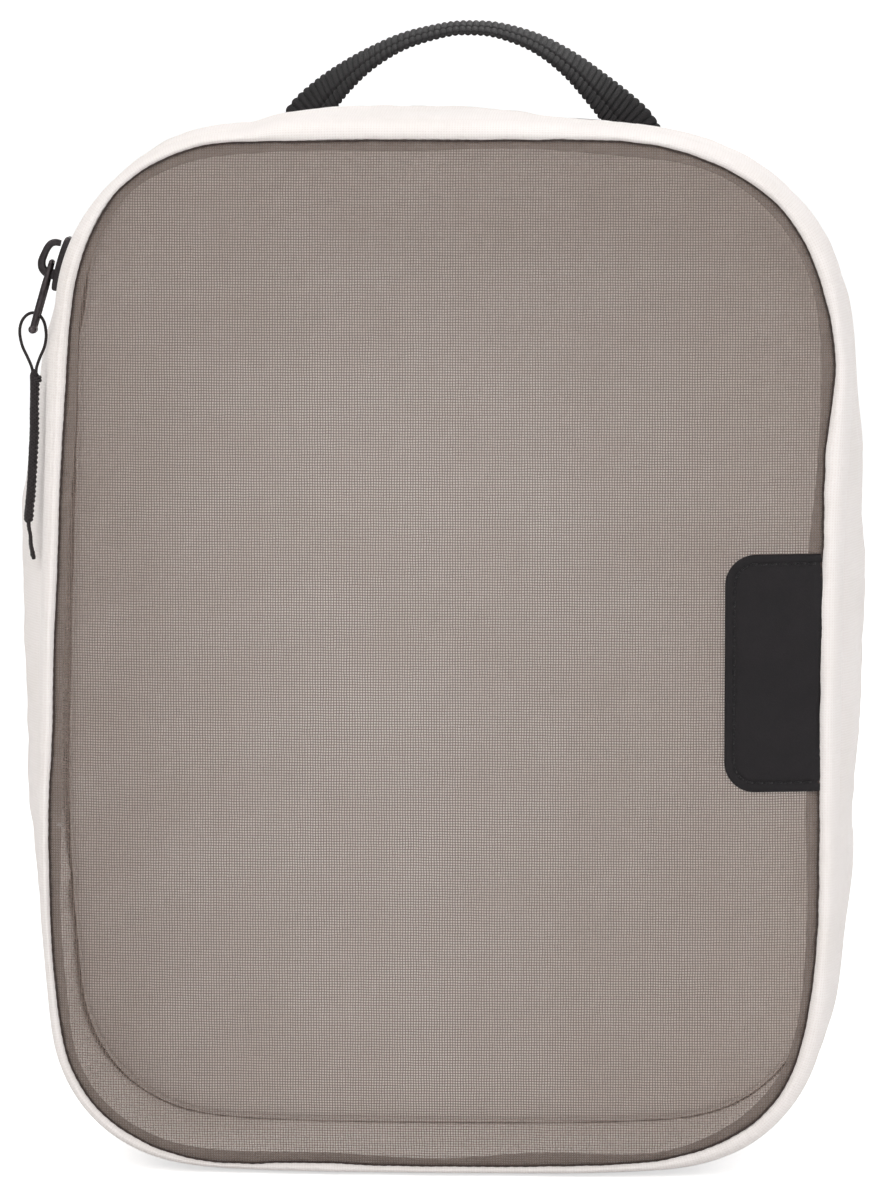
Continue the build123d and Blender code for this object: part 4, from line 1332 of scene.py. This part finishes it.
# slider stations: outward, up
POST = [(-1.8, 5.2), (-4.6, 5.0), (-7.5, 4.8)]
BRIDGE = [
    (-1.2, -3.9), (0.9, -4.3), (2.6, -4.0), (4.0, -3.0), (4.7, -1.0), (4.5, 1.4), (4.1, 3.6),
    (3.3, 5.3), (2.0, 6.1), (0.3, 6.3),
]
# share of the bridge's length, then its width across or its height there
BRIDGE_WIDTH = ([0, 0.3, 0.9, 1], [3.2, 3.0, 2.7, 2.5])
BRIDGE_HEIGHT = ([0, 0.12, 0.3, 0.6, 0.85, 1.0], [3.4, 3.1, 2.6, 2.2, 2.3, 2.0])


def rounded_rect(width, height, radius, count):
    """Closed section, width along y and height along the radius."""
    right, top = width / 2 - radius, height / 2 - radius
    points = []
    for x, y, start in ((right, top, 0), (-right, top, 90), (-right, -top, 180), (right, -top, 270)):
        for step in np.linspace(0, 90, count):
            angle = math.radians(start + step)
            points.append((x + radius * math.cos(angle), y + radius * math.sin(angle)))
    return np.array(points)


def slider_plate(radius, half_deg, thickness):
    """Plate curved round the corner centre, wider at its top, with soft sides and ends."""
    rows = []
    for t in np.sin(np.linspace(-1, 1, 40) * math.pi / 2):
        angle = math.radians(half_deg) * t
        end = math.sqrt(max(1 - abs(t) ** 14, 0.0))
        thick = thickness * (0.35 + 0.65 * math.sqrt(max(1 - abs(t) ** 18, 0)))
        width = 9.3 - 2.2 * (0.5 - 0.5 * math.sin(t * math.pi / 2)) ** 1.2
        section = rounded_rect(width * (0.80 + 0.20 * end), thick, min(0.55, thick * 0.45), 6)
        outward = SLIDER_OUT * math.cos(angle) + SLIDER_UP * math.sin(angle)
        centre = CORNER + outward * radius
        rows.append(centre + Y_AXIS * section[:, :1] + outward * section[:, 1:])
    return capped(np.stack(rows, 0))


def swept_bar(path, width, height, radius):
    """Rounded bar whose path lies in the slider's plane; width is across it, along y."""
    path = np.asarray(path, float)
    along = unit(np.gradient(path, axis=0))
    normals = np.stack([-along[:, 1], along[:, 0]], -1)
    widths = np.broadcast_to(width, (len(path),))
    heights = np.broadcast_to(height, (len(path),))
    rows = []
    for point, normal, wide, high in zip(path, normals, widths, heights):
        section = rounded_rect(wide, high, min(radius, high * 0.45, wide * 0.45), 5)
        out, up = (point + normal * section[:, 1:]).T[:, :, None]
        rows.append(SLIDER_ORIGIN + SLIDER_OUT * out + SLIDER_UP * up + Y_AXIS * section[:, :1])
    return capped(np.stack(rows, 0))


def build_slider():
    pile = Pile()
    pile.add(*slider_plate(SLIDER_RADIUS - 1.6, half_deg=8.6, thickness=2.5))
    pile.add(*slider_plate(SLIDER_RADIUS - 7.6, half_deg=8.0, thickness=1.1))
    # post that joins the two plates between the coils
    pile.add(*swept_bar(POST, width=0.5, height=3.0, radius=0.2))
    # hooked bridge, open at the top
    path = catmull(BRIDGE, 6)
    share = np.linspace(0, 1, len(path))
    width, height = np.interp(share, *BRIDGE_WIDTH), np.interp(share, *BRIDGE_HEIGHT)
    pile.add(*swept_bar(path, width, height, radius=0.6))
    assign(pile.mesh("zip_slider_cast", METAL), "slider", "slider_metal", "zip_slider")


def build_link():
    length, half = 23.0, 2.3
    # distance down the link, y; the other side mirrors it
    side = [
        (0, half - 0.9), (0.45, half - 0.15), (1.4, half), (length - 2.4, half * 1.02),
        (length - 1.0, half - 0.1), (length, half - 1.1),
    ]
    stations = [(0, -half + 0.9)] + side + [(down, -y) for down, y in side[:0:-1]]
    line = resample(catmull(stations, 8, closed=True), 160, closed=True)
    down = line[:, 0]
    path = LINK_TOP - SLIDER_UP * line[:, :1] + Y_AXIS * line[:, 1:]
    radius = 0.76 + 0.34 * np.clip((down - 0.5) / 7.0, 0, 1)
    radius = radius - 0.12 * np.clip((down - 16) / 7.0, 0, 1)
    pile = Pile()
    pile.add(*tube(path, radius, 12, closed=True, up=SLIDER_OUT))
    # thick lower bar
    bar = LINK_BAR + Y_AXIS * np.linspace(-2.9, 2.9, 17)[:, None]
    radius = 1.0 + 0.42 * np.sqrt(np.clip(1 - (np.linspace(-1, 1, 17)) ** 6, 0, 1))
    pile.add(*tube(bar, radius, 14, up=SLIDER_OUT))
    assign(pile.mesh("pull_link_wire", METAL), "pull", "slider_metal", "pull_link")


# =============================================================================
# cord
# =============================================================================
CORD_TILT = math.radians(2.0)
CORD_DOWN = np.array([-math.sin(CORD_TILT), 0, -math.cos(CORD_TILT)])
CORD_SIDE = np.array([-math.cos(CORD_TILT), 0, math.sin(CORD_TILT)])
# half of the teardrop loop: distance down, distance to the side
CORD_LOOP = [
    (-5.4, 0.0), (-4.6, 2.2), (-2.2, 3.9), (1.5, 4.5), (5.5, 3.8), (9.0, 2.2), (12.2, 0.9),
    (14.5, 0.55),
]
GRIP_TOP, GRIP_END = 13.0, 63.6
TAIL_START = 62.5


def cord_point(down, side, y=0.0):
    """Points below the link's bar, on a cord that hangs in a slight curve."""
    side = side - 1.2 * np.sin(math.pi * np.clip(down / 66.0, 0.0, 1.0))
    offset = np.multiply.outer(down, CORD_DOWN) + np.multiply.outer(side, CORD_SIDE)
    return LINK_BAR + offset + np.multiply.outer(y, Y_AXIS)


def build_cord_loop():
    """Teardrop loop that passes through the link."""
    mirrored = [(down, -side * 0.93) for down, side in CORD_LOOP[1:]]
    down, side = catmull(CORD_LOOP[::-1] + mirrored, 10).T
    vertices, faces, uv = tube(cord_point(down, side, 0.28 * np.sin(down * 0.5)), 0.52, 9)
    obj = write_mesh("cord_loop_braid", vertices, faces, CORD, uv)
    assign(obj, "cord", "pull_cord", "cord_loop")


def build_cord_grip():
    """Ribbed grip with a channel down its front and a knot at its top."""
    down = np.linspace(GRIP_TOP, GRIP_END, 520)
    turn = np.arange(22) / 22 * TAU
    end = np.clip(np.minimum((down - GRIP_TOP) / 2.6, (GRIP_END - down) / 1.2), 0, 1) ** 0.6
    rib = 0.17 * np.sin(TAU * down / 1.6)[:, None] * end[:, None]
    radius = (1.52 * (0.35 + 0.65 * end))[:, None]
    radius = radius + rib * (0.12 + 0.88 * np.clip(-np.cos(turn), 0, 1))
    from_front = np.angle(np.exp(1j * (turn + math.pi / 2)))
    radius = radius * (1 - 0.16 * np.exp(-((from_front / 0.35) ** 2)))
    radius += 0.05 * waves(down[:, None], turn * 1.5, 61, 3, 9, 10)
    grid = cord_point(down, 0)[:, None] + CORD_SIDE * (radius * np.cos(turn))[..., None]
    grid = grid + Y_AXIS * (radius * np.sin(turn))[..., None]
    uv = grid_uv(down, turn * 1.5)
    pile = Pile()
    pile.add(*capped(grid), np.vstack([uv, uv[:2]]))
    # knot: a small overhand wrap
    turn = np.linspace(0, 2 * math.pi * 2.2, 60)
    side = -0.95 + 0.95 * np.cos(turn)
    knot = cord_point(15.2 + 2.2 * turn / turn[-1], side, 1.15 * np.sin(turn))
    pile.add(*tube(knot, 0.55, 8))
    assign(pile.mesh("cord_grip_wrap", GRIP), "cord", "pull_cord", "cord_grip")


def build_cord_tails():
    pile = Pile()
    for sign, length, lean in ((-1, 11.6, -1.9), (1, 10.9, -1.3)):
        down = np.linspace(TAIL_START, GRIP_END + length, 26)
        share = (down - TAIL_START) / length
        side = lean * share * 1.1 + 0.12 * np.sin(down)
        radius = 0.62 + 0.05 * np.sin(down * 5.0)
        radius[-3:] = [0.66, 0.74, 0.66]
        pile.add(*tube(cord_point(down, side, sign * (0.75 + 0.1 * share)), radius, 9))
    assign(pile.mesh("cord_tails_braid", CORD), "cord", "pull_cord", "cord_tails")


# =============================================================================
# handle
# =============================================================================
# x, y, z and twist in degrees of the webbing's centre line, from left root to right root
HANDLE_STATIONS = [
    (-50.6, 44.4, 340.5, 62), (-48.6, 44.2, 345.2, 52), (-44.0, 43.2, 351.0, 41),
    (-36.9, 41.4, 357.9, 30), (-27.2, 39.8, 365.1, 20), (-15.2, 38.8, 371.3, 14),
    (-1.0, 38.2, 375.1, 10.5), (7.0, 38.2, 375.7, 10), (16.8, 38.4, 374.9, 11),
    (29.6, 39.0, 370.6, 15), (40.8, 40.0, 363.5, 22), (49.9, 41.6, 355.3, 32),
    (57.2, 43.2, 347.9, 43), (61.8, 44.2, 342.2, 54), (63.6, 44.4, 338.2, 62),
]
HANDLE_X = JOINT_AT["handle_fold"][0]
WEB_HALF = 9.6


def build_handle():
    stations = catmull(HANDLE_STATIONS, 60)
    run = run_length(stations[:, :3])
    count = int(run[-1] / RIB_PITCH * 11)
    at = np.linspace(0, run[-1], count)
    kernel = np.hanning(41) / np.hanning(41).sum()
    path = np.stack([
        np.convolve(np.pad(column, 20, mode="edge"), kernel, "valid")
        for column in sample(at, run, stations[:, :3]).T
    ], -1)
    twist = np.radians(np.interp(at, run, stations[:, 3]))[:, None]
    # width axis: y at the crown, turning towards x at the roots
    along = unit(np.gradient(path, axis=0))
    flat = unit(Y_AXIS - along[:, 1:2] * along)
    upright = np.cross(along, flat)
    upright *= np.sign(upright[:, 2])[:, None]
    width_axis = flat * np.cos(twist) + upright * np.sin(twist)
    normal = upright * np.cos(twist) - flat * np.sin(twist)
    # ribbed section with a groove along one side
    across = np.linspace(-1, 1, 41)
    rib = np.sqrt(np.abs(np.cos(math.pi * at / RIB_PITCH)))[:, None]
    thick = (0.42 + 0.84 * rib) * np.sqrt(np.clip(1 - np.abs(across) ** 9, 0, 1))
    groove = np.exp(-((across * WEB_HALF + 3.6) / 0.62) ** 2)
    curl = -0.55 * across**2
    centre = path[:, None]
    centre = centre + width_axis[:, None] * (across * (WEB_HALF - 0.40 + 0.80 * rib))[..., None]
    top = centre + normal[:, None] * (thick - 0.6 * groove + curl)[..., None]
    under = centre + normal[:, None] * (-thick + 0.35 * groove + curl)[..., None]
    vertices, faces = capped(np.concatenate([top, under[:, ::-1]], 1))
    uv = grid_uv(at, np.r_[across * WEB_HALF, across[::-1] * WEB_HALF])
    uv = np.vstack([uv, uv[:2]])
    obj = write_mesh("carry_handle_webbing", vertices, faces, WEBBING, uv)
    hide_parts("carry_handle", "handle_anchors")
    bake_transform(obj)


def build_bartacks():
    """Bartacks through the back panel below the handle's roots."""
    pile = Pile()
    reach = np.linspace(-1.2, 1.2, 5)
    for root in (HANDLE_X - 56, HANDLE_X + 56):
        for offset in (-7.5, 7.5):
            for k in range(9):
                z = np.full(5, 335.6 + k * 0.62)
                path = [root + offset + reach, 46.35 + 0.2 * np.cos(reach), z]
                pile.add(*tube(np.stack(path, -1), 0.3, 6))
    obj = pile.mesh("handle_bartack_stitches", THREAD)
    assign(obj, "case", "patch_thread", "anchor_bartacks")


def build_topstitching():
    """Row of topstitching on the back panel beside its seam."""
    line = place((RIM - 3.4)[:, None], 45.72)[:, 0]
    row = stitches(
        "back_topstitch_row", np.vstack([line, line[:1]]), Y_AXIS, pitch=3.0, length=2.3,
        radius=0.20, material=STITCH, lift=0.10, sag=0.10,
    )
    assign(row, "case", "shell_fabric")


build_side_wall()
build_lid_border()
build_hinge_strip()
build_net()
build_net_binding()
build_seam_cord()
build_zip()
build_back()
build_patch()
build_slider()
build_link()
build_cord_loop()
build_cord_grip()
build_cord_tails()
build_handle()
build_bartacks()
build_topstitching()


# =============================================================================
# studio: pale floor, soft light, camera at the viewing angle; places in metres
# =============================================================================
def build_floor():
    """Round floor whose rim curves up far away, the same from every side."""
    material = bpy.data.materials.new("floor_pale")
    material.use_nodes = True
    tree = material.node_tree
    inputs = tree.nodes["Principled BSDF"].inputs
    inputs["Base Color"].default_value = (0.90, 0.90, 0.90, 1)
    inputs["Roughness"].default_value = 0.9
    inputs["Specular IOR Level"].default_value = 0.1
    inputs["Emission Color"].default_value = (1, 1, 1, 1)
    light_path = tree.nodes.new("ShaderNodeLightPath")
    glow = tree.nodes.new("ShaderNodeMath")
    glow.operation = "MULTIPLY"
    # lifts the floor to white for the camera without lighting the object
    glow.inputs[1].default_value = 0.62
    tree.links.new(light_path.outputs["Is Camera Ray"], glow.inputs[0])
    tree.links.new(glow.outputs[0], inputs["Emission Strength"])
    bend = np.linspace(0.05, math.pi / 2, 12)
    radius = np.r_[0.5, 300, 700, 1200, 1700, 2200 + 1500 * np.sin(bend), 3700][:, None]
    height = np.r_[0, 0, 0, 0, 0, 1500 * (1 - np.cos(bend)), 4500][:, None]
    turn = np.arange(64) / 64 * TAU
    x = radius * np.cos(turn)
    points = np.stack([x, radius * np.sin(turn), height + 0 * x], -1)
    faces = grid_faces(len(radius), 64, False, True)
    write_mesh("floor", points, faces, material, recalc=False)


def build_world():
    world = bpy.data.worlds.new("studio")
    scene.world = world
    world.use_nodes = True
    tree = world.node_tree
    background = tree.nodes["Background"]
    background.inputs[0].default_value = (1, 1, 1, 1)
    light_path = tree.nodes.new("ShaderNodeLightPath")
    strength = tree.nodes.new("ShaderNodeMapRange")
    strength.inputs[3].default_value = 0.40  # as a light
    strength.inputs[4].default_value = 1.0  # white behind the object, for the camera
    tree.links.new(light_path.outputs["Is Camera Ray"], strength.inputs[0])
    tree.links.new(strength.outputs[0], background.inputs[1])


def aim(name, data, location, target):
    """Object for a light or camera, looking at the target."""
    obj = bpy.data.objects.new(name, data)
    scene.collection.objects.link(obj)
    obj.location = location
    view = Vector(target) - Vector(location)
    obj.rotation_euler = view.to_track_quat("-Z", "Y").to_euler()
    return obj


def area_light(name, location, aim_height, size, energy, colour=(1, 1, 1)):
    light = bpy.data.lights.new(name, "AREA")
    light.shape = "RECTANGLE"
    light.size, light.size_y = size
    light.energy = energy
    light.color = colour
    aim(name, light, location, (0, 0, aim_height))


def build_lights():
    area_light(
        "key", (-0.9, -1.5, 1.5), aim_height=0.18, size=(1.3, 1.3), energy=16,
        colour=(1.0, 0.985, 0.97),
    )
    area_light(
        "fill", (1.5, -1.0, 0.7), aim_height=0.18, size=(1.2, 1.4), energy=8,
        colour=(0.97, 0.98, 1.0),
    )
    area_light("top", (0.0, 0.3, 1.7), aim_height=0.2, size=(1.4, 1.4), energy=10)
    area_light("back_soft", (0.7, 1.7, 1.1), aim_height=0.2, size=(1.4, 1.4), energy=8)
    area_light("inside_glow", (0.0, -1.9, 0.35), aim_height=0.18, size=(0.8, 0.8), energy=2.6)


def build_camera():
    distance, view_height = 1.9, 0.400
    azimuth, elevation = math.radians(3.0), math.radians(6.0)
    target = np.array([-0.0005, 0.0, 0.1857])
    level = math.cos(elevation)
    direction = [math.sin(azimuth) * level, -math.cos(azimuth) * level, math.sin(elevation)]
    camera = bpy.data.cameras.new("camera")
    scene.camera = aim("camera", camera, target + distance * np.array(direction), target)
    camera.sensor_fit = "VERTICAL"
    camera.sensor_height = 24.0
    camera.lens = distance * 24.0 / view_height
    camera.clip_end = 50
    camera.clip_start = 0.01


build_floor()
build_world()
build_lights()
scene.view_settings.view_transform = "Standard"
scene.view_settings.look = "None"
scene.view_settings.exposure = 0.0
scene.view_settings.gamma = 1.0
build_camera()
